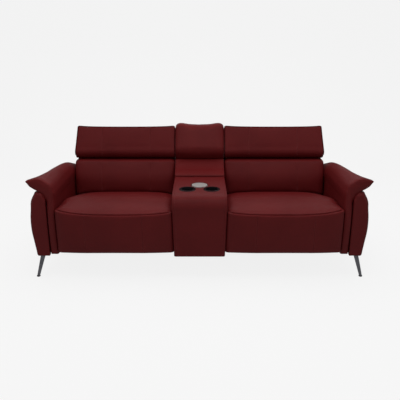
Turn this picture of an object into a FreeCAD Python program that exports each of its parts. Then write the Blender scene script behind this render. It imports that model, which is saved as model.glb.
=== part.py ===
import FreeCAD, Part
import math
import os

# Power reclining sofa: two power seats with a console between them.
# X runs across the sofa, Y from the front to the back, Z up. Every y below is counted from the front
# face. The origin lies on the floor, under the middle of the whole sofa. All lengths are in millimetres.

# Main sizes
seat_depth = 590.0
back_depth = 360.0
seat_width = 757.0
console_width = 366.0
side_gap = 3.5
base_height = 163.0
soft_gap = 0.3
plate_gap = 0.4
pin_clearance = 0.05
cut_overrun = 5.0

# Rounded ends and sewn channels of every cushion
end_length = 24.0
end_draw = 9.0
end_turns_deg = (0.0, 38.0, 90.0)
channel_depth = 5.0
channel_half_width = 9.0
round_room_share = 0.96
least_side = 1e-9
crown_power = 4

# Seat cushion
seat_top_front = 488.0
seat_swell_y = 170.0
seat_swell_height = 496.0
seat_rear_top_height = 436.0
seat_rear_run = 22.0
seat_rear_height = 410.0
seat_rear_bottom = 346.0
seat_front_bottom = 385.0
seat_lip_height = 458.0
seat_lip_rear_y = 80.0
seat_end_drop = 7.0
seat_front_round = 20.0
seat_lip_round = 6.0
seat_swell_round = 220.0
seat_rear_round = 30.0
front_corner_sweep = 14.0

# Footrest pad and the board behind it
footrest_lip_gap = 3.5
footrest_bottom = 181.0
footrest_thickness = 60.0
footrest_bulge = 5.0
footrest_tuck = 10.0
footrest_top_round = 12.0
footrest_bottom_round = 20.0
footrest_channel_shares = (0.25, 0.75)
board_thickness = 12.0
board_inset = 12.0
board_bottom = 200.0
board_top_inset = 14.5
board_round = 10.0

# Lower back cushion
back_bottom = 423.0
back_swell_run = 22.0
back_swell_height = 545.0
back_top_run = 74.0
back_top = 664.0
back_rear_top_run = 174.0
back_rear_bottom_run = 110.0
back_bottom_round = 22.0
back_top_round = 22.0
back_side_gap = 5.0
back_crown = 14.0
back_channel_shares = (0.245, 0.725)

# Headrest pad, which turns about the centre of its round lower edge
headrest_pivot_run = 145.0
headrest_pivot_rise = 58.0
headrest_radius = 54.0
headrest_lean_deg = 24.0
headrest_rise = 190.0
headrest_sag = 9.0
headrest_top_thickness = 84.0
headrest_front_round = 12.0
headrest_rear_round = 22.0
headrest_corner_share = 0.3
headrest_crown = 8.0
headrest_side_gap = 6.0
headrest_rod_radius = 8.0
headrest_arm_width = 26.0
headrest_arm_thickness = 4.0
headrest_arm_inset = 120.0
headrest_arm_foot_run = 210.0
headrest_arm_drop = 70.0
headrest_tilt_deg = 50.0
headrest_slot_margin_deg = 24.0

# Rear shell and side boards of each back
shell_bottom = 408.0
shell_bottom_lead = 26.0
shell_top = 866.0
shell_top_front_run = 254.0
shell_thickness = 18.0
shell_top_round = 36.0
shell_inner_round = 12.0
cheek_thickness = 6.0
cheek_inset = 3.0
side_board_thickness = 22.0
side_board_bottom = 412.0
cross_board_height = 60.0
cross_board_depth = 20.0

# Layers of the mechanism, counted inwards from each side of a seat
base_rail_inset = 6.0
plate_thickness = 4.0
rivet_head_height = 2.0
rivet_head_rim = 3.0

# Fixed base
cross_rail_width = 40.0
cross_rail_height = 34.0
cross_rail_wall = 2.0
cross_rail_front_y = 420.0
cross_rail_rear_lead = 90.0
base_rail_front_lead = 215.0
base_rail_rear_lead = 50.0
base_rail_height = 61.0
base_rail_round = 8.0
roller_radius = 8.0
roller_clearance = 0.3
roller_rise = 39.0
roller_front_lead = 90.0
roller_rear_run = 70.0
seat_travel = 100.0
rear_panel_thickness = 20.0
rear_panel_bottom = 172.0
rear_panel_top = 402.0
rear_panel_round = 8.0

# Seat frame
deck_thickness = 3.0
deck_front_y = 92.0
deck_border = 22.0
deck_openings_across = 7
deck_openings_deep = 5
deck_strap = 30.0
frame_front_y = 118.0
frame_nose_height = 308.0
frame_belly_height = 290.0
frame_foot_lead = 110.0
frame_foot_height = 222.0
frame_rear_run = 86.0
frame_rear_height = 300.0
frame_round = 12.0
frame_tube_radius = 11.0
frame_tube_wall = 2.0
front_tube_y = 238.0
front_tube_height = 349.0
rear_tube_run = 40.0
rear_tube_height = 318.0
recline_pivot_run = 60.0
recline_pivot_height = 370.0
recline_boss_radius = 16.0
recline_ear_margin = 1.0
bracket_rise = 150.0
bracket_width = 44.0

# Footrest linkage
link_pivot_y = 200.0
link_pivot_height = 330.0
knee_run = 180.0
knee_drop = 130.0
toe_run = 284.0
toe_rise = 50.0
link_half_width = 11.0
link_pin_radius = 6.0
drive_tube_radius = 13.0
drive_tube_wall = 2.5
crank_length = 110.0
crank_dip_deg = 13.0
crank_half_width = 9.0
crank_offset = 15.0
crank_thickness = 6.0
crank_eye_radius = 4.0

# Motor, its rail and its carriage
rail_half_width = 14.0
rail_height = 30.0
rail_top = 282.0
rail_front_y = 262.0
rail_groove_width = 12.0
rail_groove_depth = 8.0
gearbox_front_run = 7.0
gearbox_depth = 62.0
gearbox_half_width = 30.0
gearbox_bottom = 238.0
gearbox_top = 298.0
gearbox_round = 10.0
motor_radius = 24.0
motor_length = 104.0
motor_step = 3.0
motor_collar_length = 8.0
ear_thickness = 8.0
ear_half_width = 17.0
carriage_front_lead = 60.0
carriage_length = 44.0
carriage_wall = 5.0
carriage_skirt = 14.0
rod_height = 12.0
rod_thickness = 6.0

# Arms
arm_front_y = 32.0
arm_rear_lead = 14.0
arm_panel_width = 53.0
arm_panel_top = 545.0
arm_panel_edge = 7.0
arm_panel_nose_height = 400.0
arm_panel_nose = 10.0
arm_panel_round = 16.0
arm_board_thickness = 9.7
arm_board_reach = 145.0
arm_board_setback = 26.0
arm_groove = 3.0
arm_pad_bottom_width = 95.0
arm_pad_width = 120.0
arm_pad_waist_height = 395.0
arm_pad_shoulder_width = 85.0
arm_pad_shoulder_height = 600.0
arm_pad_inner_height = 566.0
arm_pad_rear_drop = 34.0
arm_pad_inner_drop = 21.0
arm_pad_bottom_round = 24.0
arm_pad_waist_round = 160.0
arm_pad_shoulder_round = 50.0
arm_pad_nose = 16.0
arm_pad_nose_length = 30.0
wing_front_y = 44.0
wing_reach = 120.0
wing_rise = 155.0
wing_draw = 7.0
wing_nose_length = 12.0
wing_under_bulge = 8.0
wing_crest_round = 60.0
wing_shoulder_round = 24.0
wing_tip_round = 8.0
wing_root_round = 14.0
# Shares of the arm's length, of the wing's reach and of its rise, from the front to the rear
wing_station_shares = ((0.0, 1.0, 1.0), (0.07, 0.74, 0.985), (0.2, 0.49, 0.965), (0.36, 0.32, 0.93),
                       (0.52, 0.23, 0.87), (0.68, 0.17, 0.74), (0.85, 0.12, 0.52), (1.0, 0.08, 0.3))
# Shares of the panel's width or the reach, and of the rise, at the wing's shoulders, crest, tip and root
wing_shoulder_share = 0.61
wing_upper_share = 0.8
wing_upper_width_share = 0.47
wing_crest_share = 0.33
wing_tip_share = 0.82
wing_root_share = 0.2

# Legs and feet
leg_top_width = 33.0
leg_bottom_width = 19.0
leg_side_share = 0.55
leg_round_share = 0.2
leg_splay_x = 38.0
leg_splay_y = 40.0
leg_inset = 31.0
front_leg_y = 92.0
rear_leg_lead = 100.0
leg_plate_size = 62.0
leg_plate_thickness = 4.0
leg_plate_round = 8.0
glide_radius = 12.0
glide_height = 6.0
glide_round = 1.5
centre_leg_radius = 15.0
centre_flange_radius = 32.0

# Console
console_height = 574.0
console_bottom_narrowing = 13.0
console_front_y = 12.0
console_front_round = 14.0
console_top_thickness = 74.0
console_top_rear_lead = 75.0
console_roll = 52.0
console_ledge_rear_run = 170.0
console_ledge_rise = 93.0
cavity_front_lead = 30.0
cavity_wall = 30.0
cavity_roof = 60.0
notch_clearance = 0.3
lower_bulge_lead = 37.0
lower_front_round = 8.0
lower_top_round = 30.0
upper_front_run = 50.0
upper_top_run = 167.0
upper_rise = 267.0
upper_rear_lead = 45.0
upper_front_round = 22.0
upper_top_round = 42.0
upper_corner_drop = 26.0

# Cup holders and charging pad
cup_x = 82.0
cup_y = 204.0
cup_bore_radius = 42.0
cup_wall = 2.0
cup_depth = 72.0
cup_flange_radius = 56.5
cup_flange_height = 3.0
cup_flange_round = 1.2
disc_y = 298.0
disc_radius = 54.0
disc_thickness = 9.0
disc_ring_width = 6.2
disc_rise = 2.5
disc_edge = 1.0
disc_dish_depth = 0.6

# Switch of each seat, in the side of the console
switch_y = 205.0
switch_drop = 37.0
switch_length = 62.0
switch_height = 28.0
switch_thickness = 6.0
switch_round = 6.0
switch_pocket_depth = 13.0
rocker_length = 30.0
rocker_height = 16.0
rocker_thickness = 7.0
rocker_gap = 0.8
rocker_proud = 1.5
rocker_pin_radius = 1.5
rocker_pin_length = 1.6
rocker_dish = 1.2

# Power supply with its inlet
supply_width = 90.0
supply_height = 46.0
supply_front_lead = 150.0
supply_rear_lead = 6.0
supply_round = 6.0
inlet_width = 16.0
inlet_height = 9.0
inlet_depth = 12.0
inlet_pin_radius = 1.2
inlet_pin_spacing = 8.5
inlet_pin_length = 8.0
socket_wall = 5.0
socket_round = 2.0
window_clearance = 1.5

# Places that follow from the sizes
overall_depth = seat_depth + back_depth
seat_rear_top_y = seat_depth
seat_rear_y = seat_depth + seat_rear_run
back_front_y = seat_depth
back_swell_y = seat_depth + back_swell_run
back_top_y = seat_depth + back_top_run
back_rear_top_y = seat_depth + back_rear_top_run
back_rear_bottom_y = seat_depth + back_rear_bottom_run
headrest_pivot_y = seat_depth + headrest_pivot_run
headrest_arm_foot_y = seat_depth + headrest_arm_foot_run
shell_top_front_y = seat_depth + shell_top_front_run
recline_pivot_y = seat_depth + recline_pivot_run
rear_tube_y = seat_depth + rear_tube_run
frame_rear_y = seat_depth + frame_rear_run
frame_foot_y = seat_depth - frame_foot_lead
roller_rear_y = seat_depth + roller_rear_run
roller_front_y = seat_depth - roller_front_lead
base_rail_front_y = seat_depth - base_rail_front_lead
gearbox_front_y = seat_depth + gearbox_front_run
carriage_front_y = seat_depth - carriage_front_lead
console_ledge_rear_y = seat_depth + console_ledge_rear_run
console_top_rear_y = seat_depth - console_top_rear_lead
lower_bulge_y = seat_depth - lower_bulge_lead
upper_front_y = seat_depth + upper_front_run
upper_top_y = seat_depth + upper_top_run
cavity_front_y = seat_depth - cavity_front_lead
shell_rear_y = overall_depth
shell_bottom_y = overall_depth - shell_bottom_lead
base_rail_rear_y = overall_depth - base_rail_rear_lead
cross_rail_rear_y = overall_depth - cross_rail_rear_lead
rear_panel_front_y = overall_depth - rear_panel_thickness
console_rear_y = rear_panel_front_y - soft_gap
upper_rear_y = overall_depth - upper_rear_lead
supply_front_y = overall_depth - supply_front_lead
supply_rear_y = overall_depth - supply_rear_lead
rear_leg_y = overall_depth - rear_leg_lead
arm_rear_y = overall_depth - arm_rear_lead
footrest_top = seat_lip_height - footrest_lip_gap
board_top = footrest_top - board_top_inset
switch_z = console_height - switch_drop
console_seam_height = console_height - console_top_thickness
console_ledge_height = console_height + console_ledge_rise
upper_top = console_ledge_height + upper_rise
headrest_pivot_height = back_top + headrest_pivot_rise
headrest_top = headrest_pivot_height + headrest_rise
headrest_arm_foot_height = headrest_pivot_height - headrest_arm_drop
console_half = console_width / 2
bay_inner = console_half + side_gap
bay_outer = bay_inner + seat_width
bay_middle = (bay_inner + bay_outer) / 2
arm_inner = bay_outer + side_gap
arm_panel_outer = arm_inner + arm_panel_width
pad_inner = arm_panel_outer + arm_groove
leg_x = arm_inner + arm_board_reach - leg_inset
layer_base = base_rail_inset
layer_seat = layer_base + plate_thickness + plate_gap
layer_long = layer_seat + plate_thickness + plate_gap
layer_short = layer_long + plate_thickness + plate_gap
layer_bracket = layer_short + plate_thickness + plate_gap
knee_y = link_pivot_y + knee_run
knee_height = link_pivot_height - knee_drop
toe_y = knee_y - toe_run
toe_height = knee_height + toe_rise
rail_middle = base_height + cross_rail_height
roller_height = rail_middle + roller_rise


# A point, with y counted from the front face
def spot(x, y, z):
    return FreeCAD.Vector(x, y - overall_depth / 2, z)


# The direction of length one from one flat point to another, and the distance
def heading(start, end):
    length = math.dist(start, end)
    return ((end[0] - start[0]) / length, (end[1] - start[1]) / length), length


# A closed wire through corners (a, b, radius[, bulge of the side that follows]). Inset draws it in.
# Radii are held within the sides that they round. A radius of zero leaves the corner sharp.
def rounded_wire(corners, place, inset=0.0):
    count = len(corners)
    area = sum(corners[i - 1][0] * corners[i][1] - corners[i][0] * corners[i - 1][1] for i in range(count))
    turn = math.copysign(1, area)
    points = []
    for i in range(count):
        before, _ = heading(corners[i - 1][:2], corners[i][:2])
        after, _ = heading(corners[i][:2], corners[(i + 1) % count][:2])
        out_before = (before[1] * turn, -before[0] * turn)
        out_after = (after[1] * turn, -after[0] * turn)
        share = inset / (1 + out_before[0] * out_after[0] + out_before[1] * out_after[1])
        points.append((corners[i][0] - share * (out_before[0] + out_after[0]),
                       corners[i][1] - share * (out_before[1] + out_after[1])))
    sides = [heading(points[i], points[(i + 1) % count]) for i in range(count)]
    reaches = []
    for i in range(count):
        (ax, ay), (bx, by) = sides[i - 1][0], sides[i][0]
        opening = math.acos(max(-1, min(1, -(ax * bx + ay * by))))
        reaches.append(corners[i][2] / math.tan(opening / 2) if corners[i][2] else 0.0)
    factors = [min(1, round_room_share * sides[i][1] / max(reaches[i] + reaches[(i + 1) % count], least_side))
               for i in range(count)]
    reaches = [reaches[i] * min(factors[i - 1], factors[i]) for i in range(count)]
    edges = []
    for i in range(count):
        (ax, ay), (bx, by) = sides[i - 1][0], sides[i][0]
        px, py = points[i]
        enter = (px - ax * reaches[i], py - ay * reaches[i])
        leave = (px + bx * reaches[i], py + by * reaches[i])
        if reaches[i]:
            half = math.acos(max(-1, min(1, -(ax * bx + ay * by)))) / 2
            sag = reaches[i] * (1 - math.sin(half)) / math.cos(half)
            inward, _ = heading((0, 0), (bx - ax, by - ay))
            middle = (px + inward[0] * sag, py + inward[1] * sag)
            edges.append(Part.Arc(place(*enter), place(*middle), place(*leave)).toShape())
        following = (i + 1) % count
        (cx, cy), length = sides[i]
        arrive = (points[following][0] - cx * reaches[following],
                  points[following][1] - cy * reaches[following])
        bulge = corners[i][3] if len(corners[i]) > 3 else 0.0
        if bulge:
            middle = ((leave[0] + arrive[0]) / 2 + cy * turn * bulge,
                      (leave[1] + arrive[1]) / 2 - cx * turn * bulge)
            edges.append(Part.Arc(place(*leave), place(*middle), place(*arrive)).toShape())
        else:
            edges.append(Part.LineSegment(place(*leave), place(*arrive)).toShape())
    return Part.Wire(edges)


# A solid between section wires that lie one after the other
def lofted(wires):
    return Part.makeLoft(wires, True, True)


# A plate of even thickness across X, with its outline in y and z
def plate(corners, low, high, inset=0.0):
    wire = rounded_wire(corners, lambda y, z: spot(low, y, z), inset)
    return Part.Face(wire).extrude(FreeCAD.Vector(high - low, 0, 0))


# A plate that lies flat, with its outline in x and y
def slab(corners, low, high):
    wire = rounded_wire(corners, lambda x, y: spot(x, y, low))
    return Part.Face(wire).extrude(FreeCAD.Vector(0, 0, high - low))


# A block with its outline in x and z, along Y
def bar(corners, front, rear):
    wire = rounded_wire(corners, lambda x, z: spot(x, front, z))
    return Part.Face(wire).extrude(FreeCAD.Vector(0, rear - front, 0))


# A box between two corners
def block(low, high):
    size = [high[i] - low[i] for i in range(3)]
    return Part.makeBox(*size, spot(*low))


# A round bar across X
def rod(radius, y, z, low, high):
    return Part.makeCylinder(radius, high - low, spot(low, y, z), FreeCAD.Vector(1, 0, 0))


# A round bar that stands up
def post(radius, x, y, low, high):
    return Part.makeCylinder(radius, high - low, spot(x, y, low))


# A pipe across X
def pipe(radius, wall, y, z, low, high):
    return rod(radius, y, z, low, high).cut(rod(radius - wall, y, z, low - cut_overrun, high + cut_overrun))


# A rectangle's four corners, rounded alike
def rectangle(low_a, low_b, high_a, high_b, radius=0.0):
    return ((low_a, low_b, radius), (high_a, low_b, radius), (high_a, high_b, radius),
            (low_a, high_b, radius))


# A flat link across X between two pivots, with round ends
def link(start, end, half_width, low, high):
    (ux, uz), _ = heading(start, end)
    side = (-uz * half_width, ux * half_width)
    straight = ((start[0] + side[0], start[1] + side[1], 0), (end[0] + side[0], end[1] + side[1], 0),
                (end[0] - side[0], end[1] - side[1], 0), (start[0] - side[0], start[1] - side[1], 0))
    ends = [rod(half_width, *place, low, high) for place in (start, end)]
    return plate(straight, low, high).multiFuse(ends).removeSplitter()


# A rivet: a pin across X with a head at its far end
def rivet(radius, y, z, root, tip, head_rim=rivet_head_rim):
    step = math.copysign(rivet_head_height, tip - root)
    low, high = sorted((root, tip))
    head_low, head_high = sorted((tip, tip + step))
    return rod(radius, y, z, low, high).fuse(rod(radius + head_rim, y, z, head_low, head_high))


# A shape and its mirror image about the middle of the seat
def both_sides(shape):
    return [shape, shape.mirror(spot(bay_middle, 0, 0), FreeCAD.Vector(1, 0, 0))]


# Stations across a cushion: x, how far the ends draw in, the share of the crown and of the channel
def stations(low, high, channel_shares=(), fill_shares=(0.12, 0.5, 0.88)):
    width = high - low
    turns = [math.radians(a) for a in end_turns_deg]
    ends = [(end_length * (1 - math.cos(a)), end_draw * (1 - math.sin(a))) for a in turns]
    places = [(low + depth, draw, 0) for depth, draw in ends]
    places += [(high - depth, draw, 0) for depth, draw in ends]
    places += [(low + width * share, 0, 0) for share in fill_shares]
    for share in channel_shares:
        middle = low + width * share
        places += [(middle - channel_half_width, 0, 0), (middle, 0, 1), (middle + channel_half_width, 0, 0)]
    crowns = []
    for x, draw, channel in sorted(places):
        offset = 2 * (x - low) / width - 1
        crowns.append((x, draw, 1 - abs(offset) ** crown_power, channel))
    return crowns


# A cushion lofted across X from the corners that a function gives for each crown and channel share
def cushion(low, high, corners_at, channel_shares=(), fill_shares=(0.12, 0.5, 0.88)):
    wires = []
    for x, draw, crown, channel in stations(low, high, channel_shares, fill_shares):
        wires.append(rounded_wire(corners_at(crown, channel), lambda y, z, x=x: spot(x, y, z), draw))
    return lofted(wires)


def seat_cushion():
    def corners_at(crown, channel):
        drop = seat_end_drop * (1 - crown)
        front = front_corner_sweep * (1 - crown)
        return ((front, seat_lip_height, seat_lip_round),
                (front, seat_top_front - drop, seat_front_round),
                (seat_swell_y, seat_swell_height - drop, seat_swell_round),
                (seat_rear_top_y, seat_rear_top_height, seat_rear_round),
                (seat_rear_y, seat_rear_height, 0),
                (seat_rear_y, seat_rear_bottom, 0),
                (seat_lip_rear_y, seat_front_bottom, 0),
                (seat_lip_rear_y, seat_lip_height, 0))
    return cushion(bay_inner, bay_outer, corners_at)


def footrest_pad():
    def corners_at(crown, channel):
        front = footrest_bulge + front_corner_sweep * (1 - crown) + channel_depth * channel
        return ((footrest_thickness, footrest_top, 0),
                (front, footrest_top, footrest_top_round, footrest_bulge),
                (front + footrest_tuck, footrest_bottom, footrest_bottom_round),
                (footrest_thickness, footrest_bottom, 0))
    return cushion(bay_inner, bay_outer, corners_at, footrest_channel_shares)


def back_cushion():
    def corners_at(crown, channel):
        back = back_crown * (1 - crown) + channel_depth * channel
        return ((back_front_y + back / 2, back_bottom, back_bottom_round),
                (back_swell_y + back, back_swell_height, 0),
                (back_top_y + back / 2, back_top, back_top_round),
                (back_rear_top_y, back_top, 0),
                (back_rear_bottom_y, back_bottom, 0))
    return cushion(bay_inner + back_side_gap, bay_outer - back_side_gap, corners_at, back_channel_shares)


# The headrest's corners follow its round lower edge: the front and rear faces are tangent to it
def headrest_corners(crown, channel):
    lean = math.radians(headrest_lean_deg)
    along = (math.sin(lean), math.cos(lean))
    out = (-math.cos(lean), math.sin(lean))
    base = (headrest_pivot_y, headrest_pivot_height)
    reach = (headrest_top - headrest_sag * crown - base[1] - headrest_radius * out[1]) / along[1]
    dent = channel_depth * channel + headrest_crown * (1 - crown)
    swell = headrest_radius - dent
    front_top = (base[0] + out[0] * swell + along[0] * reach,
                 base[1] + out[1] * headrest_radius + along[1] * reach)
    inset = headrest_top_thickness - headrest_radius
    rear_top = (base[0] - out[0] * inset + along[0] * reach, base[1] - out[1] * inset + along[1] * reach)
    return front_top, rear_top, base, dent


def headrest_section(x, crown, channel, draw):
    front_top, rear_top, base, dent = headrest_corners(crown, channel)
    radius = headrest_radius - draw
    lean = math.radians(headrest_lean_deg)
    front_angle = math.pi - lean
    rear_direction, _ = heading(base, rear_top)
    rear_distance = math.dist(base, rear_top)
    tangent_angle = math.acos(min(1, headrest_radius / rear_distance))
    rear_angle = math.atan2(rear_direction[1], rear_direction[0]) - tangent_angle
    low_angle = -math.pi / 2 - lean / 2

    def on_circle(angle, size=radius):
        return base[0] + size * math.cos(angle), base[1] + size * math.sin(angle)

    front_low = on_circle(front_angle, radius - dent)
    rear_low = on_circle(rear_angle)
    low = on_circle(low_angle)
    quarter_front = on_circle((front_angle - 2 * math.pi + low_angle) / 2, radius - dent / 2)
    quarter_rear = on_circle((rear_angle + low_angle) / 2)
    place = lambda point: spot(x, *point)
    down, _ = heading(front_top, front_low)
    across, _ = heading(front_top, rear_top)
    behind, _ = heading(rear_top, rear_low)
    front_top = (front_top[0] + (across[0] + down[0]) * draw, front_top[1] + (across[1] + down[1]) * draw)
    rear_top = (rear_top[0] + (behind[0] - across[0]) * draw, rear_top[1] + (behind[1] - across[1]) * draw)
    edges = [Part.Arc(place(front_low), place(quarter_front), place(low)).toShape(),
             Part.Arc(place(low), place(quarter_rear), place(rear_low)).toShape()]
    rear_size = headrest_rear_round
    front_size = headrest_front_round
    rear_enter = (rear_top[0] + behind[0] * rear_size, rear_top[1] + behind[1] * rear_size)
    rear_leave = (rear_top[0] - across[0] * rear_size, rear_top[1] - across[1] * rear_size)
    rear_middle = (rear_top[0] + (behind[0] - across[0]) * rear_size * headrest_corner_share,
                   rear_top[1] + (behind[1] - across[1]) * rear_size * headrest_corner_share)
    front_enter = (front_top[0] + across[0] * front_size, front_top[1] + across[1] * front_size)
    front_leave = (front_top[0] + down[0] * front_size, front_top[1] + down[1] * front_size)
    front_middle = (front_top[0] + (across[0] + down[0]) * front_size * headrest_corner_share,
                    front_top[1] + (across[1] + down[1]) * front_size * headrest_corner_share)
    edges.append(Part.LineSegment(place(rear_low), place(rear_enter)).toShape())
    edges.append(Part.Arc(place(rear_enter), place(rear_middle), place(rear_leave)).toShape())
    edges.append(Part.LineSegment(place(rear_leave), place(front_enter)).toShape())
    edges.append(Part.Arc(place(front_enter), place(front_middle), place(front_leave)).toShape())
    edges.append(Part.LineSegment(place(front_leave), place(front_low)).toShape())
    return Part.Wire(edges)


# Where the two headrest arms stand across the seat
def headrest_arm_places():
    low = bay_inner + headrest_arm_inset
    return [(low, low + headrest_arm_thickness),
            (bay_outer - headrest_arm_inset - headrest_arm_thickness, bay_outer - headrest_arm_inset)]


def headrest_pad():
    low = bay_inner + headrest_side_gap
    high = bay_outer - headrest_side_gap
    places = stations(low, high, back_channel_shares, (0.5,))
    pad = lofted([headrest_section(x, crown, channel, draw) for x, draw, crown, channel in places])
    pivot = (headrest_pivot_y, headrest_pivot_height)
    bore = rod(headrest_rod_radius + soft_gap, *pivot, low - cut_overrun, high + cut_overrun)
    foot, reach = heading(pivot, (headrest_arm_foot_y, headrest_arm_foot_height))
    foot_angle = math.atan2(foot[1], foot[0])
    margin = math.radians(headrest_slot_margin_deg)
    sweep = math.radians(headrest_tilt_deg)
    wide = headrest_radius * 2
    spread = [foot_angle + margin, foot_angle - sweep / 2, foot_angle - sweep - margin]
    fan = [(pivot[0] + wide * math.cos(a), pivot[1] + wide * math.sin(a), 0) for a in spread]
    pad = pad.cut(bore)
    play = plate_gap * 2
    for start, end in headrest_arm_places():
        pad = pad.cut(plate([(*pivot, 0)] + fan, start - play, end + play))
        for angle in (foot_angle, foot_angle - sweep):
            tip = (pivot[0] + reach * math.cos(angle), pivot[1] + reach * math.sin(angle))
            pad = pad.cut(link(pivot, tip, headrest_arm_width / 2 + play, start - play, end + play))
    return pad


# Steel rod through the headrest with the two arms that carry it
def headrest_hinge():
    pivot = (headrest_pivot_y, headrest_pivot_height)
    places = headrest_arm_places()
    overhang = headrest_arm_inset / 2
    hinge = rod(headrest_rod_radius, *pivot, places[0][0] - overhang, places[1][1] + overhang)
    arms = [link(pivot, (headrest_arm_foot_y, headrest_arm_foot_height), headrest_arm_width / 2, *place)
            for place in places]
    return hinge.multiFuse(arms).removeSplitter()


# The line of the lower cushion's rear face, at a height
def cushion_rear_y(height):
    share = (height - back_bottom) / (back_top - back_bottom)
    return back_rear_bottom_y + share * (back_rear_top_y - back_rear_bottom_y)


# Side outline of the hollow back, between the cushions in front and the shell behind
def back_outline(front_gap, rear_gap, corner_round):
    front_low = cushion_rear_y(side_board_bottom) + front_gap
    front_high = back_rear_top_y + front_gap
    inner_low = shell_bottom_y - shell_thickness - rear_gap
    inner_high = shell_rear_y - shell_thickness - rear_gap
    neck_y = headrest_pivot_y + headrest_radius + headrest_front_round
    top = shell_top - shell_thickness - rear_gap
    return ((front_low, side_board_bottom, 0), (front_high, back_top - soft_gap, 0),
            (neck_y, headrest_pivot_height, 0), (shell_top_front_y, top, 0),
            (inner_high, top, corner_round), (inner_low, side_board_bottom, 0))


# Upholstered rear shell: the rear and top wall in one sheet, with a cheek at each side
def back_panel():
    low, high = bay_inner + cheek_inset, bay_outer - cheek_inset
    draw = shell_thickness / 4
    edge = shell_thickness / 3
    sheet = ((shell_bottom_y, shell_bottom, edge), (shell_rear_y, shell_top, shell_top_round),
             (shell_top_front_y, shell_top, edge), (shell_top_front_y, shell_top - shell_thickness, edge),
             (shell_rear_y - shell_thickness, shell_top - shell_thickness, shell_inner_round),
             (shell_bottom_y - shell_thickness, shell_bottom, edge))
    wires = [rounded_wire(sheet, lambda y, z, x=x: spot(x, y, z), inset)
             for x, inset in ((low, draw), (low + draw, 0), (high - draw, 0), (high, draw))]
    cheek = plate(back_outline(soft_gap, -soft_gap, 0), low + draw, low + draw + cheek_thickness)
    return lofted(wires).multiFuse(both_sides(cheek))


# Wooden frame inside the back: a board at each side and two cross boards
def back_frame():
    inner = bay_inner + layer_long + plate_thickness
    outer = inner + side_board_thickness
    boards = both_sides(plate(back_outline(soft_gap, 0, shell_inner_round), inner, outer))
    across = 2 * bay_middle - 2 * outer
    upper_front = headrest_arm_foot_y + headrest_arm_width / 2 + soft_gap
    upper_low = headrest_arm_foot_height - cross_board_height / 2
    lower_rear = shell_bottom_y - shell_thickness - cross_board_depth
    lower_low = side_board_bottom + headrest_front_round
    upper = Part.makeBox(across, cross_board_depth, cross_board_height, spot(outer, upper_front, upper_low))
    lower = Part.makeBox(across, cross_board_depth, cross_board_height,
                         spot(outer, lower_rear - cross_board_depth, lower_low))
    return boards[0].multiFuse([boards[1], upper, lower]).removeSplitter()


# Steel bracket at each side of the back, which turns on the seat frame's pivot
def back_brackets():
    low = bay_inner + layer_long
    high = low + plate_thickness
    top = recline_pivot_height + bracket_rise
    seat_play = soft_gap + rivet_head_height
    front_low = cushion_rear_y(side_board_bottom) + seat_play
    front_high = cushion_rear_y(top) + seat_play
    slant = recline_boss_radius * math.sqrt(0.5)
    arm = plate(((recline_pivot_y, recline_pivot_height + recline_boss_radius, 0),
                 (front_low, side_board_bottom, 0),
                 (front_high, top, link_pin_radius), (front_high + bracket_width, top, link_pin_radius),
                 (front_low + bracket_width, side_board_bottom, frame_round),
                 (recline_pivot_y + slant, recline_pivot_height - slant, 0)), low, high)
    boss = rod(recline_boss_radius, recline_pivot_y, recline_pivot_height, low, high)
    hole = rod(link_pin_radius + pin_clearance, recline_pivot_y, recline_pivot_height,
               low - cut_overrun, high + cut_overrun)
    return Part.makeCompound(both_sides(arm.fuse(boss).removeSplitter().cut(hole)))


# Underside of the deck below the cushion, at a distance from the front
def deck_low(y):
    share = (y - seat_lip_rear_y) / (seat_rear_y - seat_lip_rear_y)
    return seat_front_bottom + share * (seat_rear_bottom - seat_front_bottom) - soft_gap - deck_thickness


# Open lattice that carries the seat cushion
def seat_deck():
    low, high = bay_inner + layer_seat, bay_outer - layer_seat
    rear = seat_rear_y - link_pin_radius
    deck = plate(((deck_front_y, deck_low(deck_front_y), 0), (rear, deck_low(rear), 0),
                  (rear, deck_low(rear) + deck_thickness, 0),
                  (deck_front_y, deck_low(deck_front_y) + deck_thickness, 0)), low, high)
    cell_x = (high - low - 2 * deck_border + deck_strap) / deck_openings_across
    cell_y = (rear - deck_front_y - 2 * deck_border + deck_strap) / deck_openings_deep
    bottom = deck_low(rear) - cut_overrun
    tall = deck_low(deck_front_y) + deck_thickness + cut_overrun - bottom
    openings = []
    for column in range(deck_openings_across):
        for row in range(deck_openings_deep):
            corner = spot(low + deck_border + column * cell_x, deck_front_y + deck_border + row * cell_y,
                          bottom)
            openings.append(Part.makeBox(cell_x - deck_strap, cell_y - deck_strap, tall, corner))
    return deck.cut(Part.makeCompound(openings))


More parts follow.
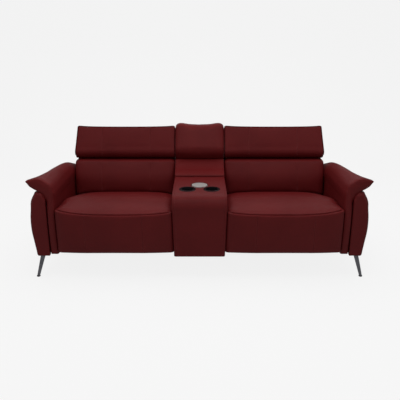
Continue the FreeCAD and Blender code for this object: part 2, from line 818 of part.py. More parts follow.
# Welded steel seat frame: a plate at each side with its pins and rollers, and two tubes between them
def seat_frame():
    low = bay_inner + layer_seat
    high = low + plate_thickness
    deck_rear = seat_rear_y + cut_overrun
    ear = recline_boss_radius + recline_ear_margin
    side = plate(((frame_front_y, deck_low(frame_front_y), link_pin_radius),
                  (deck_rear, deck_low(deck_rear), rivet_head_rim),
                  (recline_pivot_y - ear, recline_pivot_height + ear, frame_round),
                  (recline_pivot_y + ear, recline_pivot_height + ear, frame_round),
                  (frame_rear_y, frame_rear_height, frame_round),
                  (frame_rear_y, frame_foot_height, frame_round),
                  (frame_foot_y, frame_foot_height, frame_round),
                  (frame_foot_y - cross_rail_width, frame_belly_height, frame_round),
                  (link_pivot_y + cross_rail_width, frame_belly_height, frame_round),
                  (frame_front_y + cross_rail_width, frame_nose_height, frame_round)), low, high)
    reach = high + plate_gap * 2 + plate_thickness
    outward = bay_inner + layer_base - plate_gap
    parts = [rivet(link_pin_radius, link_pivot_y, link_pivot_height, high, reach),
             rivet(link_pin_radius, recline_pivot_y, recline_pivot_height, high, reach)]
    parts += [rivet(roller_radius, y, roller_height, low, outward) for y in (roller_front_y, roller_rear_y)]
    plates = both_sides(side.multiFuse(parts))
    far = 2 * bay_middle - high
    tubes = [pipe(frame_tube_radius, frame_tube_wall, y, z, high, far)
             for y, z in ((front_tube_y, front_tube_height), (rear_tube_y, rear_tube_height))]
    return plates[0].multiFuse([plates[1]] + tubes)


# Fixed slotted rail at each side of a seat, on which its rollers run
def base_rails():
    low = bay_inner + layer_base
    high = low + plate_thickness
    sheet = plate(rectangle(base_rail_front_y, rail_middle, base_rail_rear_y, rail_middle + base_rail_height,
                            base_rail_round), low, high)
    half = roller_radius + roller_clearance
    slot = link((roller_front_y - seat_travel, roller_height), (roller_rear_y, roller_height), half,
                low - cut_overrun, high + cut_overrun)
    return Part.makeCompound(both_sides(sheet.cut(slot)))


# A bracket's eye that lines up with the toe of the short links
def footrest_brackets():
    low = bay_inner + layer_bracket
    high = low + plate_thickness
    face = footrest_thickness + soft_gap + board_thickness
    tall = bracket_width
    foot = plate(((face, toe_height - tall, 0), (face, toe_height + tall, 0),
                  (toe_y, toe_height + link_half_width, 0), (toe_y, toe_height - link_half_width, 0)), low,
                  high)
    eye = rod(link_half_width, toe_y, toe_height, low, high)
    hole = rod(link_pin_radius + pin_clearance, toe_y, toe_height, low - cut_overrun, high + cut_overrun)
    return Part.makeCompound(both_sides(foot.fuse(eye).removeSplitter().cut(hole)))


def footrest_board():
    front = footrest_thickness + soft_gap
    outline = rectangle(bay_inner + board_inset, board_bottom, bay_outer - board_inset, board_top,
                        board_round)
    return bar(outline, front, front + board_thickness)


# Long links, which turn on the seat frame and carry the knee pins
def long_links():
    low = bay_inner + layer_long
    high = low + plate_thickness
    arm = link((link_pivot_y, link_pivot_height), (knee_y, knee_height), link_half_width, low, high)
    hole = rod(link_pin_radius + pin_clearance, link_pivot_y, link_pivot_height, low - cut_overrun,
               high + cut_overrun)
    pin = rivet(link_pin_radius, knee_y, knee_height, high, high + plate_gap * 2 + plate_thickness)
    return Part.makeCompound(both_sides(arm.cut(hole).fuse(pin)))


# Short links, which turn on the knee pins and carry the toe pins
def short_links():
    low = bay_inner + layer_short
    high = low + plate_thickness
    arm = link((knee_y, knee_height), (toe_y, toe_height), link_half_width, low, high)
    hole = rod(link_pin_radius + pin_clearance, knee_y, knee_height, low - cut_overrun, high + cut_overrun)
    pin = rivet(link_pin_radius, toe_y, toe_height, high, high + plate_gap * 2 + plate_thickness)
    return Part.makeCompound(both_sides(arm.cut(hole).fuse(pin)))


# Where the eye of the crank lies at rest
def crank_tip():
    dip = math.radians(crank_dip_deg)
    return link_pivot_y + crank_length * math.cos(dip), link_pivot_height - crank_length * math.sin(dip)


# Tube between the long links, with the crank that the motor pushes
def drive_tube():
    low = bay_inner + layer_long + plate_thickness
    high = 2 * bay_middle - low
    crank_low = bay_middle - crank_offset - crank_thickness
    crank_high = crank_low + crank_thickness
    pivot = (link_pivot_y, link_pivot_height)
    crank = link(pivot, crank_tip(), crank_half_width, crank_low, crank_high)
    collar = rod(drive_tube_radius + drive_tube_wall * 2, *pivot, crank_low, crank_high)
    eye = rod(crank_eye_radius, *crank_tip(), crank_low - cut_overrun, crank_high + cut_overrun)
    bore = rod(drive_tube_radius - drive_tube_wall, *pivot, low - cut_overrun, high + cut_overrun)
    tube = rod(drive_tube_radius, *pivot, low, high)
    return tube.multiFuse([crank, collar]).removeSplitter().cut(eye).cut(bore)


# Motor with its gearbox, the rail in front of it and the ears that hang it on the rear tube
def actuator():
    rail_low = rail_top - rail_height
    rail = block((bay_middle - rail_half_width, rail_front_y, rail_low),
                 (bay_middle + rail_half_width, gearbox_front_y, rail_top))
    groove = block((bay_middle - rail_groove_width / 2, rail_front_y - cut_overrun,
                    rail_top - rail_groove_depth),
                   (bay_middle + rail_groove_width / 2, gearbox_front_y - carriage_wall,
                    rail_top + cut_overrun))
    rear = gearbox_front_y + gearbox_depth
    gearbox = plate(rectangle(gearbox_front_y, gearbox_bottom, rear, gearbox_top, gearbox_round),
                    bay_middle - gearbox_half_width, bay_middle + gearbox_half_width)
    middle_y = (gearbox_front_y + rear) / 2
    middle_z = (gearbox_bottom + gearbox_top) / 2
    start = bay_middle + gearbox_half_width
    collar = rod(motor_radius + motor_step, middle_y, middle_z, start, start + motor_collar_length)
    can = rod(motor_radius, middle_y, middle_z, start, start + motor_length)
    cap = rod(motor_radius - motor_step, middle_y, middle_z, start + motor_length,
              start + motor_length + motor_step)
    ears = []
    for low in (bay_middle - rail_half_width - ear_thickness, bay_middle + rail_half_width):
        high = low + ear_thickness
        ears.append(rod(ear_half_width, rear_tube_y, rear_tube_height, low, high))
        ears.append(block((low, rear_tube_y - ear_half_width, middle_z),
                          (high, rear_tube_y + ear_half_width, rear_tube_height)))
    tube = rod(frame_tube_radius + pin_clearance, rear_tube_y, rear_tube_height,
               bay_middle - gearbox_half_width * 2, bay_middle + gearbox_half_width * 2)
    whole = rail.cut(groove).multiFuse([gearbox, collar, can, cap] + ears)
    return whole.removeSplitter().cut(tube)


# Carriage on the rail, with the rod that leads to the crank's eye
def carriage():
    _, tip_z = crank_tip()
    grip = soft_gap
    half = rail_half_width + grip + carriage_wall
    top = tip_z - rod_height / 2
    rear = carriage_front_y + carriage_length
    saddle = bar(rectangle(bay_middle - half, rail_top - carriage_skirt, bay_middle + half, top,
                           rivet_head_rim),
                 carriage_front_y, rear)
    room = block((bay_middle - rail_half_width - grip, carriage_front_y - cut_overrun,
                  rail_top - carriage_skirt - cut_overrun),
                 (bay_middle + rail_half_width + grip, rear + cut_overrun, rail_top + grip))
    low = bay_middle - crank_offset + plate_gap
    high = low + rod_thickness
    stem = link(crank_tip(), (rear - rod_height, tip_z), rod_height / 2, low, high)
    boss = rod(crank_eye_radius * 2, *crank_tip(), low, high)
    eye = rod(crank_eye_radius, *crank_tip(), low - cut_overrun, high + cut_overrun)
    return saddle.cut(room).multiFuse([stem, boss]).removeSplitter().cut(eye)


# Plate in the console's side with a window for the rocker and seats for its two pins
def switch_plate():
    outer = console_half + soft_gap
    inner = outer - switch_thickness
    body = plate(rectangle(switch_y - switch_length / 2, switch_z - switch_height / 2,
                           switch_y + switch_length / 2, switch_z + switch_height / 2, switch_round), inner,
                           outer)
    window_y = rocker_length / 2 + rocker_gap
    window_z = rocker_height / 2 + rocker_gap
    window = block((inner - cut_overrun, switch_y - window_y, switch_z - window_z),
                   (outer + cut_overrun, switch_y + window_y, switch_z + window_z))
    seat_reach = rocker_height / 2 + rocker_pin_length + soft_gap
    seats = post(rocker_pin_radius + pin_clearance, (inner + outer) / 2, switch_y,
                 switch_z - seat_reach, switch_z + seat_reach)
    return body.cut(window).cut(seats)


# Two-way rocker with a hollow face, on an upright pin
def rocker():
    outer = console_half + soft_gap + rocker_proud
    inner = outer - rocker_thickness
    pivot_x = console_half + soft_gap - switch_thickness / 2
    half = rocker_length / 2
    dish_radius = (half ** 2 + rocker_dish ** 2) / (2 * rocker_dish)
    edge = rivet_head_height
    body = slab(((inner, switch_y - half, edge), (outer, switch_y - half, edge / 2),
                 (outer, switch_y + half, edge / 2),
                 (inner, switch_y + half, edge)), switch_z - rocker_height / 2, switch_z + rocker_height / 2)
    dish = post(dish_radius, outer - rocker_dish + dish_radius, switch_y,
                switch_z - rocker_height, switch_z + rocker_height)
    reach = rocker_height / 2 + rocker_pin_length
    pin = post(rocker_pin_radius, pivot_x, switch_y, switch_z - reach, switch_z + reach)
    return body.cut(dish).fuse(pin).removeSplitter()


# A section of an arm or wing, upright and across, at a distance from the front
def arm_wire(corners, y, inset):
    return rounded_wire(corners, lambda x, z: spot(x, y, z), inset)


# Inner panel of an arm down to the floor board that the legs are screwed to
def arm_frame():
    low, high = arm_inner, arm_panel_outer
    edge = arm_panel_edge
    outline = ((arm_front_y + arm_panel_nose, base_height, arm_panel_round),
               (arm_front_y, arm_panel_nose_height, 0), (arm_front_y + arm_panel_nose, arm_panel_top, 0),
               (arm_rear_y, arm_panel_top, 0), (arm_rear_y, base_height, arm_panel_round))
    wires = [rounded_wire(outline, lambda y, z, x=x: spot(x, y, z), inset)
             for x, inset in ((low, edge), (low + edge, 0), (high - edge, 0), (high, edge))]
    board = slab(rectangle(arm_panel_outer - edge * 2, arm_front_y + arm_board_setback,
                           arm_inner + arm_board_reach, arm_rear_y - arm_board_setback, edge),
                 base_height, base_height + arm_board_thickness)
    return lofted(wires).fuse(board)


# Stuffed pad on the outside of an arm
def arm_side_pad():
    length = arm_rear_y - arm_front_y
    nose = arm_pad_nose_length
    turns = [math.radians(a) for a in end_turns_deg]
    ends = [(nose * (1 - math.cos(a)), arm_pad_nose * (1 - math.sin(a))) for a in turns]
    places = [(depth, draw) for depth, draw in ends]
    places += [(length - depth, draw) for depth, draw in reversed(ends)]
    bottom = base_height + arm_board_thickness + soft_gap
    wires = []
    for depth, draw in places:
        share = depth / length
        corners = ((pad_inner, bottom, 0), (pad_inner + arm_pad_bottom_width, bottom, arm_pad_bottom_round),
                   (pad_inner + arm_pad_width, arm_pad_waist_height, arm_pad_waist_round),
                   (pad_inner + arm_pad_shoulder_width, arm_pad_shoulder_height - share * arm_pad_rear_drop,
                    arm_pad_shoulder_round),
                   (pad_inner, arm_pad_inner_height - share * arm_pad_inner_drop, 0))
        wires.append(arm_wire(corners, arm_front_y + depth, draw))
    return lofted(wires)


# Top pad of an arm, which flares out to a wing at the front
def arm_wing():
    length = arm_rear_y - wing_front_y
    root = arm_panel_top + soft_gap

    def corners_at(reach_share, rise_share):
        rise = wing_rise * rise_share
        reach = wing_reach * reach_share
        upper_x = arm_inner + arm_panel_width * wing_upper_width_share
        crest_x = arm_panel_outer + reach * wing_crest_share
        return ((arm_inner, root, 0), (arm_inner, root + rise * wing_shoulder_share, wing_shoulder_round),
                (upper_x, root + rise * wing_upper_share, wing_crest_round),
                (crest_x, root + rise, wing_crest_round),
                (arm_panel_outer + reach, root + rise * wing_tip_share, wing_tip_round,
                 wing_under_bulge * reach_share),
                (arm_panel_outer, root + rise * wing_root_share, wing_root_round), (arm_panel_outer, root, 0))

    wires = []
    for share, reach_share, rise_share in wing_station_shares:
        corners = corners_at(reach_share, rise_share)
        y = wing_front_y + share * length
        if share == 0:
            wires.append(arm_wire(corners, y, wing_draw))
            wires.append(arm_wire(corners, y + wing_nose_length / 3, wing_draw / 3))
            wires.append(arm_wire(corners, y + wing_nose_length, 0))
        elif share == 1:
            wires.append(arm_wire(corners, y - wing_nose_length, 0))
            wires.append(arm_wire(corners, y, wing_draw / 2))
        else:
            wires.append(arm_wire(corners, y, 0))
    return lofted(wires)


# Tapered leg that leans outwards, under a screwed plate
def leg(top_y, lean_y):
    top = base_height - leg_plate_thickness
    wires = []
    for width, x, y, z in ((leg_top_width, leg_x, top_y, top),
                           (leg_bottom_width, leg_x + leg_splay_x, top_y + lean_y, glide_height)):
        half, deep = width / 2, width * leg_side_share / 2
        outline = rectangle(x - half, y - deep, x + half, y + deep, width * leg_round_share)
        wires.append(rounded_wire(outline, lambda a, b, z=z: spot(a, b, z)))
    half = leg_plate_size / 2
    cap = slab(rectangle(leg_x - half, top_y - half, leg_x + half, top_y + half, leg_plate_round), top,
               base_height)
    return lofted(wires).fuse(cap).removeSplitter()


def legs():
    right = [leg(front_leg_y, -leg_splay_y), leg(rear_leg_y, leg_splay_y)]
    return Part.makeCompound(right + [mirrored(solid) for solid in right])


# Round posts under the cross rails, below the console
def centre_legs():
    feet = []
    top = base_height - leg_plate_thickness
    for front in (cross_rail_front_y, cross_rail_rear_y):
        y = front + cross_rail_width / 2
        stem = post(centre_leg_radius, 0, y, glide_height, base_height)
        feet.append(stem.fuse(post(centre_flange_radius, 0, y, top, base_height)).removeSplitter())
    return Part.makeCompound(feet)


def glides():
    outer = leg_x + leg_splay_x
    places = [(outer, front_leg_y - leg_splay_y), (outer, rear_leg_y + leg_splay_y),
              (-outer, front_leg_y - leg_splay_y), (-outer, rear_leg_y + leg_splay_y)]
    places += [(0, front + cross_rail_width / 2) for front in (cross_rail_front_y, cross_rail_rear_y)]
    discs = []
    for x, y in places:
        disc = post(glide_radius, x, y, 0, glide_height)
        rim = [edge for edge in disc.Edges if edge.BoundBox.ZMax < glide_round]
        discs.append(disc.makeChamfer(glide_round, rim[:1]))
    return Part.makeCompound(discs)


# Two hollow steel rails from arm to arm
def cross_rails():
    reach = arm_inner - soft_gap
    rails = []
    for front in (cross_rail_front_y, cross_rail_rear_y):
        outline = rectangle(front, base_height, front + cross_rail_width, rail_middle, rivet_head_rim)
        wall = cross_rail_wall
        hollow = rectangle(front + wall, base_height + wall, front + cross_rail_width - wall,
                           rail_middle - wall)
        rails.append(plate(outline, -reach, reach).cut(plate(hollow, -reach - cut_overrun,
                                                             reach + cut_overrun)))
    return Part.makeCompound(rails)


def rear_panel():
    def board(low, high):
        return bar(rectangle(low, rear_panel_bottom, high, rear_panel_top, rear_panel_round),
                   rear_panel_front_y, rear_panel_front_y + rear_panel_thickness)

    window = supply_window(rear_panel_front_y - cut_overrun, overall_depth)
    beside = board(console_half + soft_gap, arm_inner - soft_gap)
    return Part.makeCompound([board(-console_half, console_half).cut(window), beside, mirrored(beside)])


# Opening that the power supply's end looks out of
def supply_window(front, rear):
    half = supply_width / 2 + window_clearance
    return block((-half, front, rail_middle - cut_overrun),
                 (half, rear, rail_middle + supply_height + window_clearance))


# Half width of the console at a height: its sides lean in towards the floor
def console_half_at(z):
    share = min(1, (z - base_height) / (console_height - base_height))
    return console_half - console_bottom_narrowing * (1 - share)


def console_block(front, rear, low, high, front_round):
    wires = []
    for z in (low, high):
        half = console_half_at(z)
        outline = ((-half, front, front_round), (half, front, front_round), (half, rear, 0), (-half, rear, 0))
        wires.append(rounded_wire(outline, lambda x, y, z=z: spot(x, y, z)))
    return lofted(wires)


# Body of the console, open below, with room for the rails and the power supply
def console_box():
    seam = console_seam_height - soft_gap
    step = console_top_rear_y + soft_gap
    ledge = console_ledge_rear_y + soft_gap
    blocks = [console_block(front, console_rear_y, low, high, 0)
              for front, low, high in ((step, seam, console_height),
                                       (ledge, console_height, console_ledge_height))]
    body = console_block(console_front_y, console_rear_y, base_height, seam,
                         console_front_round).multiFuse(blocks)
    half = console_half - console_bottom_narrowing - cavity_wall
    cavity = block((-half, cavity_front_y, base_height - cut_overrun),
                   (half, console_rear_y - cavity_wall, seam - cavity_roof))
    cuts = [cavity, supply_window(console_rear_y - cavity_wall - cut_overrun, overall_depth)]
    for front in (cross_rail_front_y, cross_rail_rear_y):
        cuts.append(block((-console_half, front - notch_clearance, base_height - cut_overrun),
                          (console_half, front + cross_rail_width + notch_clearance,
                           rail_middle + notch_clearance)))
    return body.cut(Part.makeCompound(cuts[:1])).cut(cuts[1]).cut(cuts[2]).cut(cuts[3])


# Padded top of the console, rolled over its front, with seats for the cups, the disc and the switches
def console_top():
    def corners_at(crown, channel):
        return ((console_front_y, console_seam_height, 0), (console_front_y, console_height, console_roll),
                (console_top_rear_y, console_height, 0), (console_top_rear_y, console_seam_height, 0))
    top = cushion(-console_half, console_half, corners_at, (), (0.5,))
    high = console_height + cut_overrun
    for x in (-cup_x, cup_x):
        top = top.cut(post(cup_bore_radius + cup_wall + soft_gap, x, cup_y,
                           console_seam_height - cut_overrun, high))
    disc_floor = console_height + disc_rise - disc_thickness - soft_gap
    top = top.cut(post(disc_radius + disc_ring_width + soft_gap, 0, disc_y, disc_floor, high))
    half_y, half_z = switch_length / 2 + soft_gap, switch_height / 2 + soft_gap
    for side in (-1, 1):
        inner, outer = sorted((side * (console_half - switch_pocket_depth),
                               side * (console_half + cut_overrun)))
        top = top.cut(block((inner, switch_y - half_y, switch_z - half_z),
                            (outer, switch_y + half_y, switch_z + half_z)))
    return top


def console_back_lower():
    low = console_height + soft_gap

    def corners_at(crown, channel):
        sink = back_crown * (1 - crown)
        return ((console_top_rear_y + sink / 2, low, lower_front_round),
                (lower_bulge_y + sink, console_ledge_height - soft_gap, lower_top_round),
                (console_ledge_rear_y, console_ledge_height - soft_gap, 0), (console_ledge_rear_y, low, 0))
    return cushion(-console_half + side_gap / 2, console_half - side_gap / 2, corners_at)


def console_back_upper():
    low = console_ledge_height + soft_gap

    def corners_at(crown, channel):
        sink = back_crown * (1 - crown)
        top = upper_top - upper_corner_drop * (1 - crown)
        return ((upper_front_y + sink, low, upper_front_round), (upper_top_y + sink, top, upper_top_round),
                (upper_rear_y, top - upper_top_round, upper_top_round), (console_rear_y, low, 0))
    return cushion(-console_half + side_gap / 2, console_half - side_gap / 2, corners_at)


# Cup with a flat flange that rests on the console's top
def cup_holder(x):
    seat = console_height + soft_gap
    bottom = seat - cup_depth - cup_wall
    brim = seat + cup_flange_height
    flange = post(cup_flange_radius, x, cup_y, seat, brim)
    rim = [edge for edge in flange.Edges if edge.BoundBox.ZMin > brim - cup_flange_round]
    flange = flange.makeFillet(cup_flange_round, rim[:1])
    wall = post(cup_bore_radius + cup_wall, x, cup_y, bottom, seat)
    bore = post(cup_bore_radius, x, cup_y, bottom + cup_wall, brim + cut_overrun)
    return wall.fuse(flange).cut(bore)


# Round charging disc with a shallow dish, and its metal ring
def charging_disc():
    top = console_height + disc_rise
    disc = post(disc_radius, 0, disc_y, top - disc_thickness, top)
    dish = post(disc_radius - disc_ring_width, 0, disc_y, top - disc_dish_depth, top + cut_overrun)
    return disc.cut(dish)


def charging_ring():
    low = console_height + disc_rise - disc_thickness
    high = console_height + disc_rise + disc_edge
    ring = post(disc_radius + disc_ring_width, 0, disc_y, low, high)
    rim = [edge for edge in ring.Edges if edge.BoundBox.ZMin > high - disc_edge]
    ring = ring.makeChamfer(disc_edge, rim[:1])
    return ring.cut(post(disc_radius + soft_gap / 2, 0, disc_y, low - cut_overrun, high + cut_overrun))


# Power supply on the rear rail, with the socket of its two-pin inlet on the rear end
def power_supply():
    half = supply_width / 2
    low = rail_middle
    high = low + supply_height
    middle = (low + high) / 2
    floor_y = supply_rear_y - inlet_depth
    case_rear_y = floor_y - socket_wall
    case = bar(rectangle(-half, low, half, high, supply_round), supply_front_y, case_rear_y)
    half_x, half_z = inlet_width / 2, inlet_height / 2
    wide, tall = half_x + socket_wall, half_z + socket_wall
    socket = bar(rectangle(-wide, middle - tall, wide, middle + tall, socket_round), case_rear_y,
                 supply_rear_y)
    socket = socket.cut(bar(rectangle(-half_x, middle - half_z, half_x, middle + half_z, half_z / 2),
                            floor_y, supply_rear_y + cut_overrun))
    for x in (-inlet_pin_spacing / 2, inlet_pin_spacing / 2):
        socket = socket.fuse(Part.makeCylinder(inlet_pin_radius, inlet_pin_length, spot(x, floor_y, middle),
                                               FreeCAD.Vector(0, 1, 0)))
    return Part.makeCompound([case, socket])


# The same shape on the other side of the sofa
def mirrored(shape):
    return shape.mirror(FreeCAD.Vector(), FreeCAD.Vector(1, 0, 0))


# Write one sub-part, and say so if a solid of it isn't sound
def save(name, shape):
    solids = shape.Solids
    sound = bool(solids) and all(solid.isValid() and solid.Volume > 0 for solid in solids)
    whole = solids[0] if len(solids) == 1 else Part.makeCompound(solids)
    whole.exportStep(os.path.join("parts", name + ".step"))
    print(name, len(solids), "solids", "" if sound else "NOT SOUND")


os.makedirs("parts", exist_ok=True)

per_side = {
    "seat_cushion": seat_cushion, "seat_deck": seat_deck, "seat_frame": seat_frame, "base_rails": base_rails,
    "footrest_pad": footrest_pad, "footrest_board": footrest_board, "footrest_brackets": footrest_brackets,
    "long_links": long_links, "short_links": short_links, "drive_tube": drive_tube,
    "actuator": actuator, "carriage": carriage,
    "back_cushion": back_cushion, "back_frame": back_frame, "back_brackets": back_brackets,
    "back_panel": back_panel, "headrest_pad": headrest_pad, "headrest_hinge": headrest_hinge,
    "switch_plate": switch_plate, "rocker": rocker,
    "arm_frame": arm_frame, "arm_side_pad": arm_side_pad, "arm_wing": arm_wing,
}
for node, build in per_side.items():
    solid = build()
    save("right_" + node, solid)
    save("left_" + node, mirrored(solid))

single = {
    "console_box": console_box, "console_top": console_top, "console_back_lower": console_back_lower,
    "console_back_upper": console_back_upper, "charging_disc": charging_disc, "charging_ring": charging_ring,
    "legs": legs, "centre_legs": centre_legs, "glides": glides, "cross_rails": cross_rails,
    "rear_panel": rear_panel, "power_supply": power_supply,
}
for node, build in single.items():
    save(node, build())
save("right_cup_holder", cup_holder(cup_x))
save("left_cup_holder", cup_holder(-cup_x))
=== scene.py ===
import logging
import math
from dataclasses import dataclass
from enum import Enum
from typing import Callable, ClassVar, Iterable, Optional, Sequence, Union

import bmesh
import bpy
import numpy as np
from mathutils import Matrix, Vector


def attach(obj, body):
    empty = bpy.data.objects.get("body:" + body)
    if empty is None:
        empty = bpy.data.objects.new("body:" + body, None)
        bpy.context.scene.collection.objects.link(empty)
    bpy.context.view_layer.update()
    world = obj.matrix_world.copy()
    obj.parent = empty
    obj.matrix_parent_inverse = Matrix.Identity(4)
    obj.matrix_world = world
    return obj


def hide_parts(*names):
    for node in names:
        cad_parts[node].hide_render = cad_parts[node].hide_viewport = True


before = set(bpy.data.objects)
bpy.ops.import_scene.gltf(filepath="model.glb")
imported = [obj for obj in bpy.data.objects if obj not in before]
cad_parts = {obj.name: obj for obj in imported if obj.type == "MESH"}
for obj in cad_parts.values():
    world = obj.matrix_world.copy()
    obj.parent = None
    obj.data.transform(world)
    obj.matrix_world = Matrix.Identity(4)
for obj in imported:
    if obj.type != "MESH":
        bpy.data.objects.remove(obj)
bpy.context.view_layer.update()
LOG = logging.getLogger("sofa")

# Every size below is in millimetres, with y counted from the front face of the seats.
MM = 0.001
OVERALL_DEPTH = 950.0
SEAT_WIDTH = 757.0
CONSOLE_HALF = 183.0
SIDE_GAP = 3.5
BAY_INNER = CONSOLE_HALF + SIDE_GAP
BAY_OUTER = BAY_INNER + SEAT_WIDTH
ARM_INNER = BAY_OUTER + SIDE_GAP
BASE_HEIGHT = 163.0
# Where a cover gets extra sections beside a seam.
PAD_SEAM_OFFSETS = (-9, -6, -4.6, -3.4, -2, 0, 2, 3.4, 4.6, 6, 9)
SHELL_SEAM_OFFSETS = (-8, -5, -3.4, -2, 0, 2, 3.4, 5, 8)
SKIN_SEAM_OFFSETS = (-6, -4, -2, 0, 2, 4, 6)
# Into how many parts the coarse grid's spans are split, on pads and on flat sheets of leather.
PAD_PARTS = 3
SHEET_PARTS = 2
# Added to or put in place of a length of nothing that something is divided by.
TINY = 1e-6
TINIEST = 1e-12

Pair = tuple[float, float]
Triple = tuple[float, float, float]
Colour = Triple


class Side(Enum):
    """The two halves of the sofa, named as the camera sees them."""

    RIGHT = "right"
    LEFT = "left"

    @property
    def sign(self) -> int:
        """The half's direction along x."""
        return 1 if self is Side.RIGHT else -1


class Line(Enum):
    """The direction of a sewn line on a padded form."""

    COLUMN = "column"
    ROW = "row"


def to_metres(points: np.ndarray) -> np.ndarray:
    """Turns millimetres counted from the front face into metres in the model's frame.

    Args:
        points: Points as rows of x, y and z.

    Returns:
        The same points in metres.
    """
    return (np.asarray(points, float) - (0, OVERALL_DEPTH / 2, 0)) * MM


@dataclass(frozen=True)
class Corner:
    """A corner of an outline, with what follows it up to the next corner.

    Attributes:
        a: First coordinate.
        b: Second coordinate.
        radius: Radius of the rounding.
        bulge: How far the side that follows swells outwards.
        step: Distance between the points on the arc and on the side that follows.
    """

    a: float
    b: float
    radius: float = 0.0
    bulge: float = 0.0
    step: float = 10.0


class Outline:
    """A closed section whose points match from station to station, with a pole at two of its corners."""

    def __init__(self, corners: Sequence[Corner], pole: int) -> None:
        """Counts the points of each arc and side on a reference section.

        Args:
            corners: The reference section. Its first corner is the first pole.
            pole: The corner that is the second pole, opposite the first.
        """
        self.pole = pole
        pieces = [self._measure(corners, i) for i in range(len(corners))]
        self.arcs = [2 * max(1, math.ceil(arc / corner.step / 2)) if arc else 0
                     for (arc, _), corner in zip(pieces, corners)]
        self.sides = [max(1, round(side / corner.step)) for (_, side), corner in zip(pieces, corners)]
        first = self._half(0, pole)
        second = sum(self.arcs) + sum(self.sides) - first
        low, high = (0, pole) if first < second else (pole, len(corners))
        longest = max(range(low, high), key=lambda i: self.sides[i])
        self.sides[longest] += abs(second - first)

    def _half(self, start: int, end: int) -> int:
        """The number of steps from the middle of one corner's arc to the middle of another's."""
        steps = sum(self.arcs[start:end]) + sum(self.sides[start:end])
        return steps - self.arcs[start] // 2 + (self.arcs[end] // 2 if end < len(self.arcs) else 0)

    @staticmethod
    def _turn(corners: Sequence[Corner]) -> float:
        """The sense of the outline, 1 if it runs anticlockwise."""
        area = sum(corners[i - 1].a * corners[i].b - corners[i].a * corners[i - 1].b for i in range(len(corners)))
        return math.copysign(1.0, area)

    @staticmethod
    def turn_of(points: np.ndarray) -> float:
        """The sense of a ring of points, 1 if it runs anticlockwise."""
        following = np.roll(points, -1, axis=0)
        return math.copysign(1.0, float(np.sum(points[:, 0] * following[:, 1] - following[:, 0] * points[:, 1])))

    @staticmethod
    def _frame(corners: Sequence[Corner], i: int) -> tuple[np.ndarray, np.ndarray, float, float, float]:
        """Directions into and out of a corner, its half angle, and how far its rounding reaches each way."""
        count = len(corners)
        here = np.array([corners[i].a, corners[i].b])
        before = here - (corners[i - 1].a, corners[i - 1].b)
        after = np.array([corners[(i + 1) % count].a, corners[(i + 1) % count].b]) - here
        room = 0.49 * min(np.linalg.norm(before), np.linalg.norm(after))
        before, after = before / np.linalg.norm(before), after / np.linalg.norm(after)
        half = math.acos(max(-1.0, min(1.0, float(-before @ after)))) / 2
        reach = min(room, corners[i].radius / math.tan(half)) if corners[i].radius else 0.0
        return before, after, half, reach, reach * math.tan(half)

    def _measure(self, corners: Sequence[Corner], i: int) -> Pair:
        """The length of a corner's arc and of the side that follows it."""
        _, _, half, reach, radius = self._frame(corners, i)
        following = self._frame(corners, (i + 1) % len(corners))[3]
        nxt = corners[(i + 1) % len(corners)]
        side = math.dist((corners[i].a, corners[i].b), (nxt.a, nxt.b)) - reach - following
        return radius * (math.pi - 2 * half), side

    def sample(self, corners: Sequence[Corner]) -> np.ndarray:
        """Points round a section, from the first pole.

        Args:
            corners: The section's corners, as many as the reference has.

        Returns:
            Points as rows of a and b.
        """
        turn = self._turn(corners)
        points: list[np.ndarray] = []
        for i, corner in enumerate(corners):
            before, after, half, reach, _ = self._frame(corners, i)
            here = np.array([corner.a, corner.b])
            start, end = here - before * reach, here + after * reach
            count = self.arcs[i]
            if count:
                shares = np.linspace(0, 1, count + 1)
                weight = math.sin(half)
                blend = np.stack([(1 - shares) ** 2, 2 * shares * (1 - shares) * weight, shares ** 2], 1)
                points += list((blend @ np.stack([start, here, end])) / blend.sum(1)[:, None])
            else:
                points.append(here)
            following = corners[(i + 1) % len(corners)]
            arrive = np.array([following.a, following.b]) - after * self._frame(corners, (i + 1) % len(corners))[3]
            for share in np.linspace(0, 1, self.sides[i] + 1)[1:-1]:
                swell = corner.bulge * math.sin(math.pi * share)
                points.append(end + (arrive - end) * share + np.array([after[1], -after[0]]) * turn * swell)
        return np.roll(np.array(points), -(self.arcs[0] // 2), axis=0)

    def mark(self, corner: int) -> int:
        """The index of the middle of a corner's arc."""
        return self._half(0, corner) if corner else 0


def hermite(values: np.ndarray, places: np.ndarray, wanted: np.ndarray) -> np.ndarray:
    """Smooth curve through values along the first axis.

    Args:
        values: The values at each place.
        places: Rising places of the values.
        wanted: Places at which values are wanted.

    Returns:
        The values at the wanted places.
    """
    spans = np.diff(places)
    shape = (-1,) + (1,) * (values.ndim - 1)
    slopes = np.diff(values, axis=0) / spans.reshape(shape)
    left, right = spans[:-1].reshape(shape), spans[1:].reshape(shape)
    inner = (right * slopes[:-1] + left * slopes[1:]) / (left + right)
    tangents = np.concatenate([slopes[:1], inner, slopes[-1:]])
    index = np.clip(np.searchsorted(places, wanted, side="right") - 1, 0, len(places) - 2)
    span = spans[index].reshape(shape)
    t = ((wanted - places[index]) / spans[index]).reshape(shape)
    start, end = values[index], values[index + 1]
    return ((2 * t ** 3 - 3 * t ** 2 + 1) * start + (t ** 3 - 2 * t ** 2 + t) * span * tangents[index]
            + (3 * t ** 2 - 2 * t ** 3) * end + (t ** 3 - t ** 2) * span * tangents[index + 1])


def divided(places: np.ndarray, parts: int) -> np.ndarray:
    """Splits each span between rising places into equal parts."""
    steps = np.arange(parts) / parts
    inner = (places[:-1, None] + np.diff(places)[:, None] * steps).ravel()
    return np.append(inner, places[-1])


def beside(places: Sequence[float], offsets: Sequence[float]) -> list[float]:
    """The places beside each of some places."""
    return [place + offset for place in places for offset in offsets]


